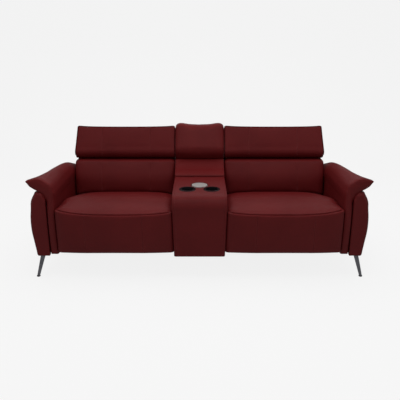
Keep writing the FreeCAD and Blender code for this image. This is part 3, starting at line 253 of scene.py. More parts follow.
def shell_faces(across: int, around: int) -> list[tuple[int, ...]]:
    """Quads between the rings of a grid whose points are counted ring by ring."""
    return [(i * around + j, (i + 1) * around + j, (i + 1) * around + (j + 1) % around, i * around + (j + 1) % around)
            for i in range(across - 1) for j in range(around)]


@dataclass
class Seam:
    """A sewn line on a padded form.

    Attributes:
        line: Whether it runs round a section or along the form.
        place: Its place along the form, or the index of its point round the section.
        start: First index round the section, for a column.
        end: Last index round the section, for a column.
        depth: How deep the line lies.
        width: How wide the dip beside it is.
        stitches: Distances of the stitch rows from the line.
    """

    line: Line
    place: float
    start: int = 0
    end: int = 0
    depth: float = 3.0
    width: float = 7.0
    stitches: tuple[float, ...] = (-3.4, 3.4)


class PaddedForm:
    """A closed upholstered form: rings of points strung along one axis, with a swollen cap at each end.

    Attributes:
        RUNGS: Faces across a cap.
        LEAD: Points that a ring repeats at its join, to run smoothly through it.
        CLOSE: How near to a wanted place a section gives way to it.
        STITCH_LIFT: How far stitches stand off the cover.
        SEAM_REACH: How far from a seam its painted shade, a darker colour, reaches.
    """

    RUNGS: ClassVar[int] = 6
    LEAD: ClassVar[int] = 3
    CLOSE: ClassVar[float] = 0.45
    STITCH_LIFT: ClassVar[float] = 0.35
    SEAM_REACH: ClassVar[float] = 1.6

    def __init__(self, grid: np.ndarray, places: np.ndarray, cap_swell: Pair = (0.0, 0.0)) -> None:
        """Keeps the rings.

        Args:
            grid: Points as stations by points round the section by x, y and z.
            places: The station's places along the form.
            cap_swell: How far the first and the last cap swell.
        """
        self.grid = grid
        self.places = places
        self.cap_swell = cap_swell
        # How near each point lies to a seam, where the leather paints shade.
        self.seam_shade_field = np.zeros(grid.shape[:2])
        self.paths: list[np.ndarray] = []

    @property
    def around(self) -> np.ndarray:
        """Distances round the middle ring, from its first point back to it."""
        ring = self.grid[len(self.grid) // 2]
        steps = np.linalg.norm(np.roll(ring, -1, axis=0) - ring, axis=1)
        return np.concatenate([[0.0], np.cumsum(steps)])

    @property
    def along(self) -> np.ndarray:
        """Distances along the form, through the points of its first pole and of its second."""
        half = self.grid.shape[1] // 4
        line = self.grid[:, half]
        return np.concatenate([[0.0], np.cumsum(np.linalg.norm(np.diff(line, axis=0), axis=1) + TINY)])

    def normals(self) -> np.ndarray:
        """Outward directions at the grid's points."""
        grid = self.grid
        wrapped = np.concatenate([grid[:, -1:], grid, grid[:, :1]], axis=1)
        round_way = wrapped[:, 2:] - wrapped[:, :-2]
        long_way = np.gradient(grid, axis=0)
        normal = np.cross(long_way, round_way)
        normal /= np.linalg.norm(normal, axis=2, keepdims=True) + TINIEST
        middle = grid[1:-1]
        outward = np.sum(normal[1:-1] * (middle - middle.mean(axis=1, keepdims=True)))
        return normal if outward > 0 else -normal

    def mesh_data(self) -> tuple[np.ndarray, list[tuple[int, ...]]]:
        """Vertices and faces of the form with both caps."""
        across, around = self.grid.shape[:2]
        vertices = [self.grid.reshape(-1, 3)]
        faces = shell_faces(across, around)
        used = across * around
        half = around // 2
        for end, swell in ((0, self.cap_swell[0]), (across - 1, self.cap_swell[1])):
            ring = self.grid[end]
            inner = self.grid[1 if end == 0 else across - 2]
            outward = ring.mean(axis=0) - inner.mean(axis=0)
            outward = outward / (np.linalg.norm(outward) + TINIEST)
            index = np.zeros((half + 1, self.RUNGS + 1), int)
            made = []
            for k in range(half + 1):
                first, last = k, (around - k) % around
                edge = min(1.0, 4.0 * min(k, half - k) / half)
                for r in range(self.RUNGS + 1):
                    t = r / self.RUNGS
                    if r == 0 or k in (0, half):
                        index[k, r] = end * around + first
                    elif r == self.RUNGS:
                        index[k, r] = end * around + last
                    else:
                        rise = swell * math.sqrt(edge) * (4 * t * (1 - t)) ** 0.6
                        index[k, r] = used + len(made)
                        made.append(ring[first] * (1 - t) + ring[last] * t + outward * rise)
            for k in range(half):
                for r in range(self.RUNGS):
                    quad = [index[k, r], index[k, r + 1], index[k + 1, r + 1], index[k + 1, r]]
                    quad = list(dict.fromkeys(quad))
                    if len(quad) > 2:
                        faces.append(tuple(quad if end == 0 else quad[::-1]))
            vertices.append(np.array(made).reshape(-1, 3))
            used += len(made)
        return np.concatenate(vertices), faces

    def refine(self, parts: int, columns: Iterable[float] = ()) -> None:
        """Makes the grid finer on a smooth surface through its points.

        Args:
            parts: Parts per span, along the form and round its sections alike.
            columns: Further places along the form.
        """
        wanted = divided(self.places, parts)
        extra = np.array(sorted(columns))
        if len(extra):
            near = np.abs(wanted[:, None] - extra[None, :]).min(axis=1) < self.CLOSE
            near[[0, -1]] = False
            wanted = np.sort(np.concatenate([wanted[~near], extra]))
        distance = np.interp(wanted, self.places, self.along)
        grid = hermite(self.grid, self.along, distance)
        around = self.around
        lead = self.LEAD
        closed = np.concatenate([grid[:, -lead:], grid, grid[:, :lead + 1]], axis=1)
        spots = np.concatenate([around[-lead - 1:-1] - around[-1], around, around[1:lead + 1] + around[-1]])
        finer = divided(around, parts)[:-1]
        self.grid = np.swapaxes(hermite(np.swapaxes(closed, 0, 1), spots, finer), 0, 1)
        self.places = wanted
        self.seam_shade_field = np.zeros(self.grid.shape[:2])

    def hold(self, columns: Sequence[tuple[slice, float]], seams: Sequence[float] = (),
             grip: float = 0.0) -> np.ndarray:
        """Says how firmly each point of the coarse grid is held while the cover swells.

        Args:
            columns: Runs of points round each section, with their level from 0 to 1.
            seams: Places of the sections that a seam holds.
            grip: The level at a seam.

        Returns:
            The levels, which are 1 at both ends.
        """
        held = np.zeros(self.grid.shape[:2])
        for run, level in columns:
            held[:, run] = level
        for place in seams:
            held[int(np.argmin(np.abs(self.places - place)))] = grip
        held[0], held[-1] = 1.0, 1.0
        return held

    def sew(self, seams: Sequence[Seam], parts: int) -> None:
        """Presses sewn lines into the surface and keeps the paths of their stitches.

        Args:
            seams: The lines, with their indices counted before refine().
            parts: Parts per span round a section that refine() was given.
        """
        normals = self.normals()
        around = self.around[:-1]
        dip = np.zeros(self.grid.shape[:2])
        for seam in seams:
            if seam.line is Line.COLUMN:
                gap = np.abs(self.places[:, None] - seam.place) * np.ones((1, self.grid.shape[1]))
                index = np.arange(self.grid.shape[1])
                start, end = seam.start * parts, seam.end * parts
                fade = np.clip(np.minimum(index - start, end - index) / (2.0 * parts), 0, 1)
                reach = np.ones((len(self.places), 1)) * fade[None, :]
            else:
                spot = around[int(seam.place) * parts]
                gap = np.abs(around[None, :] - spot) * np.ones((len(self.places), 1))
                reach = np.ones(self.grid.shape[:2])
            groove = np.exp(-(gap / (seam.width / 2.6)) ** 1.4) * reach
            dip = np.maximum(dip, groove * seam.depth)
            self.seam_shade_field = np.maximum(self.seam_shade_field, np.exp(-(gap / self.SEAM_REACH) ** 2) * reach)
        self.grid = self.grid - normals * dip[..., None]
        normals = self.normals()
        for seam in seams:
            for offset in seam.stitches:
                if seam.line is Line.COLUMN:
                    row = int(np.argmin(np.abs(self.places - seam.place - offset)))
                    start, end = seam.start * parts, seam.end * parts
                    line = self.grid[row, start:end + 1] + normals[row, start:end + 1] * self.STITCH_LIFT
                else:
                    spot = (around[int(seam.place) * parts] + offset) % self.around[-1]
                    column = int(np.argmin(np.abs(around - spot)))
                    line = self.grid[:, column] + normals[:, column] * self.STITCH_LIFT
                self.paths.append(line)

    def ring_path(self, place: float, start: int, end: int, lift: float = 0.0) -> np.ndarray:
        """A line round the section nearest a place, for piping.

        Args:
            place: The place along the form.
            start: First index round the section.
            end: Last index round the section.
            lift: Distance off the surface.

        Returns:
            The line's points.
        """
        row = int(np.argmin(np.abs(self.places - place)))
        return self.grid[row, start:end + 1] + self.normals()[row, start:end + 1] * lift

    def row_path(self, index: int, lift: float = 0.0) -> np.ndarray:
        """A line along the form through one point of each section."""
        return self.grid[:, index] + self.normals()[:, index] * lift


@dataclass
class Stuffing:
    """What fills a pad: a cloth simulation swells its cover.

    Attributes:
        pressure: Pressure inside the cover.
        limit: The most that a point moves.
        stiffness: How hard the cover resists stretching.
        bending: How hard it resists bending.
        frames: Length of the simulation.
    """

    pressure: float = 4.0
    limit: float = 14.0
    stiffness: float = 20.0
    bending: float = 1.5
    frames: int = 20

    def swell(self, form: PaddedForm, held: np.ndarray) -> None:
        """Swells a form's grid, except where it is held.

        Args:
            form: The form, still on its coarse grid.
            held: For each point of the grid, 1 where the cover is fixed and 0 where it is free.
        """
        vertices, faces = form.mesh_data()
        mesh = bpy.data.meshes.new("cover")
        mesh.from_pydata(to_metres(vertices).tolist(), [], faces)
        tidy_normals(mesh)
        cover = stand("cover", mesh)
        group = cover.vertex_groups.new(name="held")
        weights = np.concatenate([held.ravel(), np.ones(len(vertices) - held.size)])
        for level in np.unique(weights.round(2)):
            members = np.flatnonzero(weights.round(2) == level)
            group.add(members.tolist(), float(level), "REPLACE")
        cloth = cover.modifiers.new("Cloth", "CLOTH")
        settings = cloth.settings
        settings.quality = 5
        settings.mass = 0.3
        settings.air_damping = 1.0
        settings.tension_stiffness = self.stiffness
        settings.compression_stiffness = self.stiffness
        settings.shear_stiffness = self.stiffness / 2
        settings.bending_stiffness = self.bending
        settings.use_pressure = True
        settings.uniform_pressure_force = self.pressure
        settings.vertex_group_mass = group.name
        settings.effector_weights.gravity = 0.0
        cloth.point_cache.frame_start = 1
        cloth.point_cache.frame_end = self.frames
        scene = bpy.context.scene
        for number in range(1, self.frames + 1):
            scene.frame_set(number)
        evaluated = cover.evaluated_get(bpy.context.evaluated_depsgraph_get())
        moved = np.zeros(len(vertices) * 3)
        evaluated.data.vertices.foreach_get("co", moved)
        scene.frame_set(1)
        shift = moved.reshape(-1, 3)[:held.size] / MM + (0, OVERALL_DEPTH / 2, 0) - vertices[:held.size]
        size = np.linalg.norm(shift, axis=1, keepdims=True)
        shift = shift * self.limit / (self.limit + size)
        form.grid = form.grid + shift.reshape(form.grid.shape)
        bpy.data.objects.remove(cover)
        bpy.data.meshes.remove(mesh)
        LOG.info("swelled by %.1f mm at most, %.1f mm before the limit", float(np.abs(shift).max()), float(size.max()))


def stand(name: str, data: bpy.types.ID) -> bpy.types.Object:
    """Adds an object to the scene."""
    made = bpy.data.objects.new(name, data)
    bpy.context.scene.collection.objects.link(made)
    return made


def modified(piece: bpy.types.Object) -> bpy.types.Mesh:
    """The mesh that an object's modifiers leave."""
    bpy.context.view_layer.update()
    return bpy.data.meshes.new_from_object(piece.evaluated_get(bpy.context.evaluated_depsgraph_get()))


def tidy_normals(mesh: bpy.types.Mesh) -> None:
    """Turns a mesh's faces outwards."""
    work = bmesh.new()
    work.from_mesh(mesh)
    bmesh.ops.recalc_face_normals(work, faces=work.faces)
    work.to_mesh(mesh)
    work.free()


class Value:
    """A shader socket that takes part in arithmetic."""

    def __init__(self, graph: "Graph", socket: bpy.types.NodeSocket) -> None:
        """Wraps a socket of a graph."""
        self.graph = graph
        self.socket = socket

    def _math(self, operation: str, *others: Union["Value", float]) -> "Value":
        """Adds one Math node."""
        return self.graph.add("ShaderNodeMath", {"operation": operation}, {i: v for i, v in enumerate(others)})

    def __add__(self, other: Union["Value", float]) -> "Value":
        """Sum."""
        return self._math("ADD", self, other)

    __radd__ = __add__

    def __sub__(self, other: Union["Value", float]) -> "Value":
        """Difference."""
        return self._math("SUBTRACT", self, other)

    def __rsub__(self, other: Union["Value", float]) -> "Value":
        """Difference from a number."""
        return self._math("SUBTRACT", other, self)

    def __mul__(self, other: Union["Value", float]) -> "Value":
        """Product."""
        return self._math("MULTIPLY", self, other)

    __rmul__ = __mul__

    def __pow__(self, other: float) -> "Value":
        """Power."""
        return self._math("POWER", self, other)

    def __abs__(self) -> "Value":
        """Absolute value."""
        return self._math("ABSOLUTE", self)

    def held(self, low: float, high: float) -> "Value":
        """Maps a range to 0 to 1 and holds it there."""
        return self.graph.add("ShaderNodeMapRange", {"clamp": True}, {0: self, 1: low, 2: high, 3: 0.0, 4: 1.0})


Feed = Union[Value, float, tuple[float, ...]]


class Graph:
    """The node tree of one material."""

    def __init__(self, material: bpy.types.Material) -> None:
        """Clears the material's nodes and adds a Principled shader.

        Args:
            material: The material to build.
        """
        material.use_nodes = True
        self.tree = material.node_tree
        self.tree.nodes.clear()
        self.shader = self.tree.nodes.new("ShaderNodeBsdfPrincipled")
        output = self.tree.nodes.new("ShaderNodeOutputMaterial")
        self.tree.links.new(self.shader.outputs[0], output.inputs[0])

    def add(self, kind: str, settings: Optional[dict] = None, sockets: Optional[dict] = None,
            output: Union[int, str] = 0) -> Value:
        """Adds a node.

        Args:
            kind: The node's type.
            settings: Its properties, set first.
            sockets: Values or links of its sockets, by index or name.
            output: The output that is wanted.

        Returns:
            That output.
        """
        node = self.tree.nodes.new(kind)
        for name, value in (settings or {}).items():
            setattr(node, name, value)
        for key, value in (sockets or {}).items():
            self.feed(node.inputs[key], value)
        return Value(self, node.outputs[output])

    def feed(self, socket: bpy.types.NodeSocket, value: Feed) -> None:
        """Links or sets a socket."""
        if isinstance(value, Value):
            self.tree.links.new(value.socket, socket)
        elif isinstance(value, tuple) and len(value) == 3 and socket.type == "RGBA":
            socket.default_value = (*value, 1.0)
        else:
            socket.default_value = value

    def place(self, scale: Triple = (1.0, 1.0, 1.0)) -> Value:
        """Object coordinates, stretched."""
        spot = self.add("ShaderNodeTexCoord", output="Object")
        return self.add("ShaderNodeMapping", {"vector_type": "POINT"}, {"Vector": spot, "Scale": scale})

    def noise(self, spot: Value, scale: float, detail: float = 2.0, distortion: float = 0.0) -> Value:
        """Noise from 0 to 1."""
        return self.add("ShaderNodeTexNoise", {"noise_dimensions": "3D"},
                        {"Vector": spot, "Scale": scale, "Detail": detail, "Distortion": distortion}, "Fac")

    def cells(self, spot: Value, scale: float, feature: str = "F1") -> Value:
        """Distances in a pattern of cells."""
        return self.add("ShaderNodeTexVoronoi", {"feature": feature}, {"Vector": spot, "Scale": scale}, "Distance")

    def blend(self, share: Feed, first: Feed, second: Feed) -> Value:
        """Mixes two colours."""
        return self.add("ShaderNodeMix", {"data_type": "RGBA"}, {0: share, 6: first, 7: second}, 2)

    def bump(self, height: Value, strength: float, distance: float) -> None:
        """Feeds the shader's normal with a bumped surface."""
        self.feed(self.shader.inputs["Normal"],
                  self.add("ShaderNodeBump", None,
                           {"Height": height, "Strength": strength, "Distance": distance}, "Normal"))

    def surface(self, **values: Feed) -> None:
        """Sets or links the shader's sockets, named with underscores for spaces."""
        for name, value in values.items():
            self.feed(self.shader.inputs[name.replace("_", " ").title().replace("Ior", "IOR")], value)


@dataclass(frozen=True)
class Finish:
    """A finish of the sofa. Each kind of finish says how its nodes go."""

    name: str
    colour: Colour
    roughness: float

    def dress(self, graph: Graph) -> None:
        """Builds the finish's nodes."""
        graph.surface(base_color=self.colour, roughness=self.roughness)

    def material(self) -> bpy.types.Material:
        """The finish's material, made once."""
        made = bpy.data.materials.get(self.name + "_finish")
        if made is None:
            made = bpy.data.materials.new(self.name + "_finish")
            self.dress(Graph(made))
        return made


@dataclass(frozen=True)
class LeatherFinish(Finish):
    """Pigmented leather: pebbled grain, soft mottling, faint creases, and painted shade that darkens the seams and
    creases.
    """

    worn: Colour = (0.098, 0.0056, 0.0062)
    grain: float = 1.7
    gloss: float = 0.17

    def dress(self, graph: Graph) -> None:
        """Builds the leather's nodes."""
        spot = graph.place()
        drift = graph.noise(spot, 4.0, 3.0, 0.4)
        mottle = graph.noise(spot, 70.0, 2.0)
        pebbles = graph.cells(spot, 1000.0 / self.grain, "DISTANCE_TO_EDGE").held(0.0, 0.22)
        pores = graph.noise(spot, 1400.0, 1.0)
        ridge = 1.0 - (abs(graph.noise(spot, 26.0, 4.0, 1.2) - 0.5) * 16.0).held(0.0, 1.0)
        creases = ridge * drift.held(0.42, 0.7)
        seam = graph.add("ShaderNodeAttribute", {"attribute_type": "GEOMETRY", "attribute_name": "seam"}, None, "Fac")
        tone = (drift.held(0.3, 0.7) * 0.55 + mottle.held(0.25, 0.75) * 0.3 + pebbles * 0.15)
        body = graph.blend(tone, self.colour, self.worn)
        # Painted shade: the seams and, faintly, the creases are blended towards a half-bright colour, standing in for
        # the shadow in their grooves.
        shade = tuple(part * 0.5 for part in self.colour)
        graph.surface(base_color=graph.blend((seam * 0.3 + creases * 0.06).held(0.0, 1.0), body, shade),
                      roughness=(self.roughness + mottle * 0.10 - pebbles * 0.04 + seam * 0.2).held(0.0, 1.0),
                      specular_ior_level=self.gloss)
        graph.bump(pebbles * 0.5 + pores * 0.15 + drift * 1.2 + creases * -0.35, 0.35, 0.0006)


@dataclass(frozen=True)
class ThreadFinish(Finish):
    """Twisted sewing thread."""

    def dress(self, graph: Graph) -> None:
        """Builds the thread's nodes."""
        fibre = graph.noise(graph.place(), 2600.0, 2.0)
        light = tuple(min(1.0, part * 1.7 + 0.01) for part in self.colour)
        graph.surface(base_color=graph.blend(fibre.held(0.3, 0.7), self.colour, light), roughness=self.roughness)
        graph.bump(fibre, 0.4, 0.0002)


@dataclass(frozen=True)
class MetalFinish(Finish):
    """Bare or plated metal with fine drawn lines."""

    lines: Triple = (1.0, 1.0, 0.04)
    depth: float = 0.12
    metal: float = 1.0

    def dress(self, graph: Graph) -> None:
        """Builds the metal's nodes."""
        drawn = graph.noise(graph.place(self.lines), 1800.0, 2.0)
        wear = graph.noise(graph.place(), 14.0, 3.0)
        dull = tuple(part * 0.8 for part in self.colour)
        graph.surface(base_color=graph.blend(wear.held(0.35, 0.7), self.colour, dull), metallic=self.metal,
                      roughness=self.roughness + drawn * 0.12 + wear * 0.06 - 0.06)
        graph.bump(drawn, self.depth, 0.0002)


@dataclass(frozen=True)
class CoatedFinish(Finish):
    """Powder-coated steel or moulded plastic: a fine texture and a little dust."""

    texture: float = 900.0
    depth: float = 0.15
    gloss: float = 0.5

    def dress(self, graph: Graph) -> None:
        """Builds the coat's nodes."""
        spot = graph.place()
        peel = graph.noise(spot, self.texture, 1.0)
        dust = graph.noise(spot, 9.0, 4.0, 0.5)
        pale = tuple(part * 1.25 + 0.006 for part in self.colour)
        graph.surface(base_color=graph.blend(dust.held(0.4, 0.75), self.colour, pale),
                      roughness=(self.roughness + dust * 0.12 - 0.05).held(0.0, 1.0), specular_ior_level=self.gloss)
        graph.bump(peel, self.depth, 0.0003)


@dataclass(frozen=True)
class BoardFinish(Finish):
    """Plywood with long grain."""

    dark: Colour = (0.28, 0.17, 0.09)

    def dress(self, graph: Graph) -> None:
        """Builds the wood's nodes."""
        spot = graph.place((0.6, 6.0, 6.0))
        grain = graph.noise(spot, 16.0, 5.0, 1.6)
        pores = graph.noise(graph.place((6.0, 90.0, 90.0)), 12.0, 2.0)
        tone = (grain * 0.75 + pores * 0.25).held(0.35, 0.68)
        graph.surface(base_color=graph.blend(tone, self.dark, self.colour), roughness=0.62 + grain * 0.15)
        graph.bump(grain * 0.5 + pores * 0.5, 0.2, 0.0005)


@dataclass(frozen=True)
class DiscFinish(Finish):
    """Satin pad with fine rings about its middle."""

    centre: Pair = (0.0, 0.298)

    def dress(self, graph: Graph) -> None:
        """Builds the pad's nodes."""
        spot = graph.add("ShaderNodeTexCoord", output="Object")
        middle = (self.centre[0], self.centre[1] - OVERALL_DEPTH / 2 * MM, 0.0)
        offset = graph.add("ShaderNodeVectorMath", {"operation": "SUBTRACT"}, {0: spot, 1: middle})
        flat = graph.add("ShaderNodeVectorMath", {"operation": "MULTIPLY"}, {0: offset, 1: (1.0, 1.0, 0.0)})
        radius = graph.add("ShaderNodeVectorMath", {"operation": "LENGTH"}, {0: flat}, "Value")
        wave = graph.add("ShaderNodeMath", {"operation": "SINE"}, {0: radius * 3800.0})
        cloud = graph.noise(spot, 40.0, 3.0)
        light = tuple(min(1.0, part * 1.12) for part in self.colour)
        graph.surface(base_color=graph.blend(cloud.held(0.3, 0.7), self.colour, light),
                      roughness=self.roughness + cloud * 0.1, metallic=0.35)
        graph.bump(wave, 0.08, 0.0002)


class Finishes(Enum):
    """Every finish on the sofa."""

    LEATHER = LeatherFinish("red_leather", (0.070, 0.0034, 0.0038), 0.56)
    THREAD = ThreadFinish("dark_red_thread", (0.13, 0.014, 0.015), 0.75)
    # The piping's leather is about half as bright as the cover's: painted shade along the headrest's edges.
    PIPING = LeatherFinish("piping_leather", (0.034, 0.0014, 0.0017), 0.6, (0.05, 0.0026, 0.003), 1.2, 0.08)
    LEG = MetalFinish("gunmetal", (0.17, 0.17, 0.185), 0.38, metal=0.85)
    CHROME = MetalFinish("bright_trim", (0.80, 0.80, 0.80), 0.16, (1.0, 1.0, 1.0), 0.03)
    STEEL = CoatedFinish("black_steel", (0.020, 0.020, 0.022), 0.42, 700.0, 0.2)
    MOTOR = CoatedFinish("motor_housing", (0.022, 0.022, 0.024), 0.5, 1500.0, 0.25)
    CARRIAGE = CoatedFinish("carriage_plastic", (0.11, 0.11, 0.11), 0.5, 1300.0, 0.1)
    CUP = CoatedFinish("cup_plastic", (0.008, 0.008, 0.009), 0.12, 300.0, 0.02, 0.6)
    SWITCH = CoatedFinish("switch_trim", (0.025, 0.025, 0.027), 0.3, 1200.0, 0.08)
    ROCKER = CoatedFinish("rocker_plastic", (0.05, 0.05, 0.052), 0.32, 1500.0, 0.1)
    RUBBER = CoatedFinish("glide_rubber", (0.015, 0.015, 0.015), 0.8, 900.0, 0.3)
    WEBBING = CoatedFinish("deck_webbing", (0.03, 0.03, 0.032), 0.75, 1100.0, 0.5)
    BOARD = BoardFinish("wood_board", (0.50, 0.36, 0.22), 0.6)
    DISC = DiscFinish("charging_surface", (0.33, 0.31, 0.30), 0.34)

    @property
    def made(self) -> bpy.types.Material:
        """The finish's material."""
        return self.value.material()


class TrimTree(Enum):
    """The Geometry Nodes trees of the sofa's trim."""

    STITCHES = "stitches along a seam"
    PIPING = "piping along an edge"

    @property
    def sizes(self) -> dict[str, float]:
        """The tree's inputs with their sizes, in metres."""
        return {
            TrimTree.STITCHES: {"Pitch": 0.0062, "Length": 0.0042, "Thickness": 0.0011},
            TrimTree.PIPING: {"Radius": 0.0033, "Pitch": 0.006},
        }[self]

    @property
    def finish(self) -> Finishes:
        """The finish of what the tree lays."""
        return Finishes.THREAD if self is TrimTree.STITCHES else Finishes.PIPING

    def tree(self) -> bpy.types.NodeTree:
        """The tree, built once."""
        made = bpy.data.node_groups.get(self.value)
        return made if made else self._build()

    def _build(self) -> bpy.types.NodeTree:
        """Builds the tree with its inputs."""
        tree = bpy.data.node_groups.new(self.value, "GeometryNodeTree")
        tree.interface.new_socket("Geometry", in_out="INPUT", socket_type="NodeSocketGeometry")
        tree.interface.new_socket("Material", in_out="INPUT", socket_type="NodeSocketMaterial")
        for name in self.sizes:
            tree.interface.new_socket(name, in_out="INPUT", socket_type="NodeSocketFloat")
        tree.interface.new_socket("Geometry", in_out="OUTPUT", socket_type="NodeSocketGeometry")
        given = tree.nodes.new("NodeGroupInput")

        def add(kind: str, settings: Optional[dict] = None, **sockets: object) -> bpy.types.Node:
            """Adds a node and links or sets its sockets, which are named with underscores for spaces."""
            node = tree.nodes.new(kind)
            for name, value in (settings or {}).items():
                setattr(node, name, value)
            for name, value in sockets.items():
                socket = node.inputs[name.replace("_", " ")]
                if isinstance(value, bpy.types.NodeSocket):
                    tree.links.new(value, socket)
                else:
                    socket.default_value = value
            return node

        source = given.outputs["Geometry"]
        curve = add("GeometryNodeMeshToCurve", None, Mesh=source)
        if self is TrimTree.STITCHES:
            dots = add("GeometryNodeCurveToPoints", {"mode": "LENGTH"}, Curve=curve.outputs["Curve"],
                       Length=given.outputs["Pitch"])
            bead = add("GeometryNodeMeshUVSphere", None, Segments=6, Rings=4, Radius=0.5)
            size = add("ShaderNodeCombineXYZ", None, X=given.outputs["Thickness"],
                       Y=given.outputs["Thickness"], Z=given.outputs["Length"])
            thread = add("GeometryNodeTransform", None, Geometry=bead.outputs["Mesh"],
                         Scale=size.outputs["Vector"])
            placed = add("GeometryNodeInstanceOnPoints", None, Points=dots.outputs["Points"],
                         Instance=thread.outputs["Geometry"], Rotation=dots.outputs["Rotation"])
            solid = add("GeometryNodeRealizeInstances", None, Geometry=placed.outputs["Instances"])
        else:
            even = add("GeometryNodeResampleCurve", {"mode": "LENGTH"}, Curve=curve.outputs["Curve"],
                       Length=given.outputs["Pitch"])
            ring = add("GeometryNodeCurvePrimitiveCircle", None, Resolution=8, Radius=given.outputs["Radius"])
            tube = add("GeometryNodeCurveToMesh", None, Curve=even.outputs["Curve"],
                       Profile_Curve=ring.outputs["Curve"], Fill_Caps=True)
            solid = add("GeometryNodeRealizeInstances", None, Geometry=tube.outputs["Mesh"])
        smooth = add("GeometryNodeSetShadeSmooth", None, Geometry=solid.outputs["Geometry"])
        dressed = add("GeometryNodeSetMaterial", None, Geometry=smooth.outputs["Geometry"],
                      Material=given.outputs["Material"])
        result = tree.nodes.new("NodeGroupOutput")
        tree.links.new(dressed.outputs["Geometry"], result.inputs["Geometry"])
        return tree

    def lay(self, name: str, points: np.ndarray, edges: Sequence[tuple[int, int]]) -> bpy.types.Object:
        """Runs the tree on points and returns a plain mesh.

        Args:
            name: The piece's name.
            points: Points in metres.
            edges: Pairs of points that a path joins.

        Returns:
            The piece.
        """
        mesh = bpy.data.meshes.new(name + "_points")
        mesh.from_pydata(points.tolist(), list(edges), [])
        host = stand(name + "_points", mesh)
        modifier = host.modifiers.new("trim", "NODES")
        modifier.node_group = self.tree()
        for item in modifier.node_group.interface.items_tree:
            if item.in_out == "INPUT" and item.name == "Material":
                modifier[item.identifier] = self.finish.made
            elif item.in_out == "INPUT" and item.name in self.sizes:
                modifier[item.identifier] = self.sizes[item.name]
        result = modified(host)
        result.name = name
        if not result.materials:
            result.materials.append(self.finish.made)
        bpy.data.objects.remove(host)
        return stand(name, result)


class Bench:
    """Turns forms into pieces of the sofa that ride on its bodies."""

    CREASE_DEG: ClassVar[float] = 50.0

    def __init__(self) -> None:
        """Starts with nothing made."""
        self.count = 0

    def put(self, name: str, vertices: np.ndarray, faces: Sequence[tuple[int, ...]], body: str, finish: Finishes,
            nodes: Sequence[str] = (),
            seam: Optional[np.ndarray] = None, side: Side = Side.RIGHT) -> bpy.types.Object:
        """Makes a piece from vertices and faces.

        Args:
            name: The piece's name.
            vertices: Vertices in millimetres, of the right half.
            faces: Faces as vertex indices.
            body: The body that it rides on.
            finish: Its finish.
            nodes: The nodes that it stands for.
            seam: How near to a sewn line each vertex lies, from 0 to 1; the leather paints shade there.
            side: The half that it belongs to. The left half is mirrored.

        Returns:
            The piece.
        """
        points = to_metres(vertices) * (side.sign, 1, 1)
        mesh = bpy.data.meshes.new(name)
        mesh.from_pydata(points.tolist(), [], [tuple(face) for face in faces])
        tidy_normals(mesh)
        if seam is not None:
            attribute = mesh.attributes.new("seam", "FLOAT", "POINT")
            attribute.data.foreach_set("value", np.asarray(seam, np.float32))
        mesh.polygons.foreach_set("use_smooth", [True] * len(mesh.polygons))
        mesh.materials.append(finish.made)
        piece = stand(name, mesh)
        self.enrol(piece, body, nodes)
        return piece

    def enrol(self, piece: bpy.types.Object, body: str, nodes: Sequence[str] = ()) -> None:
        """Lets a finished piece ride on its body and hides the nodes that it stands for."""
        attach(piece, body)
        if nodes:
            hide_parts(*nodes)
        self.count += 1
        LOG.info("%s rides on %s", piece.name, body)

    def cover(self, form: PaddedForm, name: str, body: str, sides: Sequence[Side], nodes: Sequence[str] = (),
              fill: float = 0.7, cutters: Sequence[bpy.types.Mesh] = ()) -> None:
        """Makes the cover of a padded form for each half, with its stitches.

        Args:
            form: The form of the right half.
            name: The piece's name after the half's.
            body: The body's name after the half's, or "base".
            sides: The halves that have it, or none for a piece on the middle.
            nodes: Node names after the half's.
            fill: How full the pad is; not used.
            cutters: Solids that are cut from the right half's cover.
        """
        vertices, faces = form.mesh_data()
        seam = np.concatenate([form.seam_shade_field.ravel(), np.zeros(len(vertices) - form.seam_shade_field.size)])
        for side in sides or (Side.RIGHT,):
            prefix = side.value + "_" if sides else ""
            carrier = body if body == "base" else prefix + body
            piece = self.put(prefix + name, vertices, faces, carrier, Finishes.LEATHER,
                             [prefix + node for node in nodes], seam, side)
            for cutter in cutters:
                self.cut(piece, cutter, side)
            if form.paths:
                self.trim(TrimTree.STITCHES, prefix + name + "_stitches", form.paths, carrier, side)

    def trim(self, tree: TrimTree, name: str, paths: Sequence[np.ndarray], body: str, side: Side) -> None:
        """Lays trim along paths.

        Args:
            tree: The kind of trim.
            name: The piece's name.
            paths: Rows of points in millimetres, of the right half.
            body: The body that the trim rides on.
            side: The half that it belongs to.
        """
        points, edges = [], []
        for path in paths:
            start = len(points)
            points += list(to_metres(path) * (side.sign, 1, 1))
            edges += [(start + i, start + i + 1) for i in range(len(path) - 1)]
        self.enrol(tree.lay(name, np.array(points), edges), body)

    def cut(self, piece: bpy.types.Object, cutter: bpy.types.Mesh, side: Side) -> None:
        """Cuts a solid, given for the right half, out of a piece.

        Args:
            piece: The piece.
            cutter: The solid's mesh, in metres.
            side: The half that the piece belongs to.
        """
        mesh = cutter.copy()
        if side is Side.LEFT:
            mesh.transform(Matrix.Diagonal((-1, 1, 1, 1)))
            mesh.flip_normals()
        tool = stand("cutter", mesh)
        modifier = piece.modifiers.new("cut", "BOOLEAN")
        modifier.operation = "DIFFERENCE"
        modifier.solver = "EXACT"
        modifier.object = tool
        result = modified(piece)
        piece.modifiers.clear()
        result.name = piece.name
        piece.data = result
        result.set_sharp_from_angle(angle=math.radians(self.CREASE_DEG))
        bpy.data.objects.remove(tool)


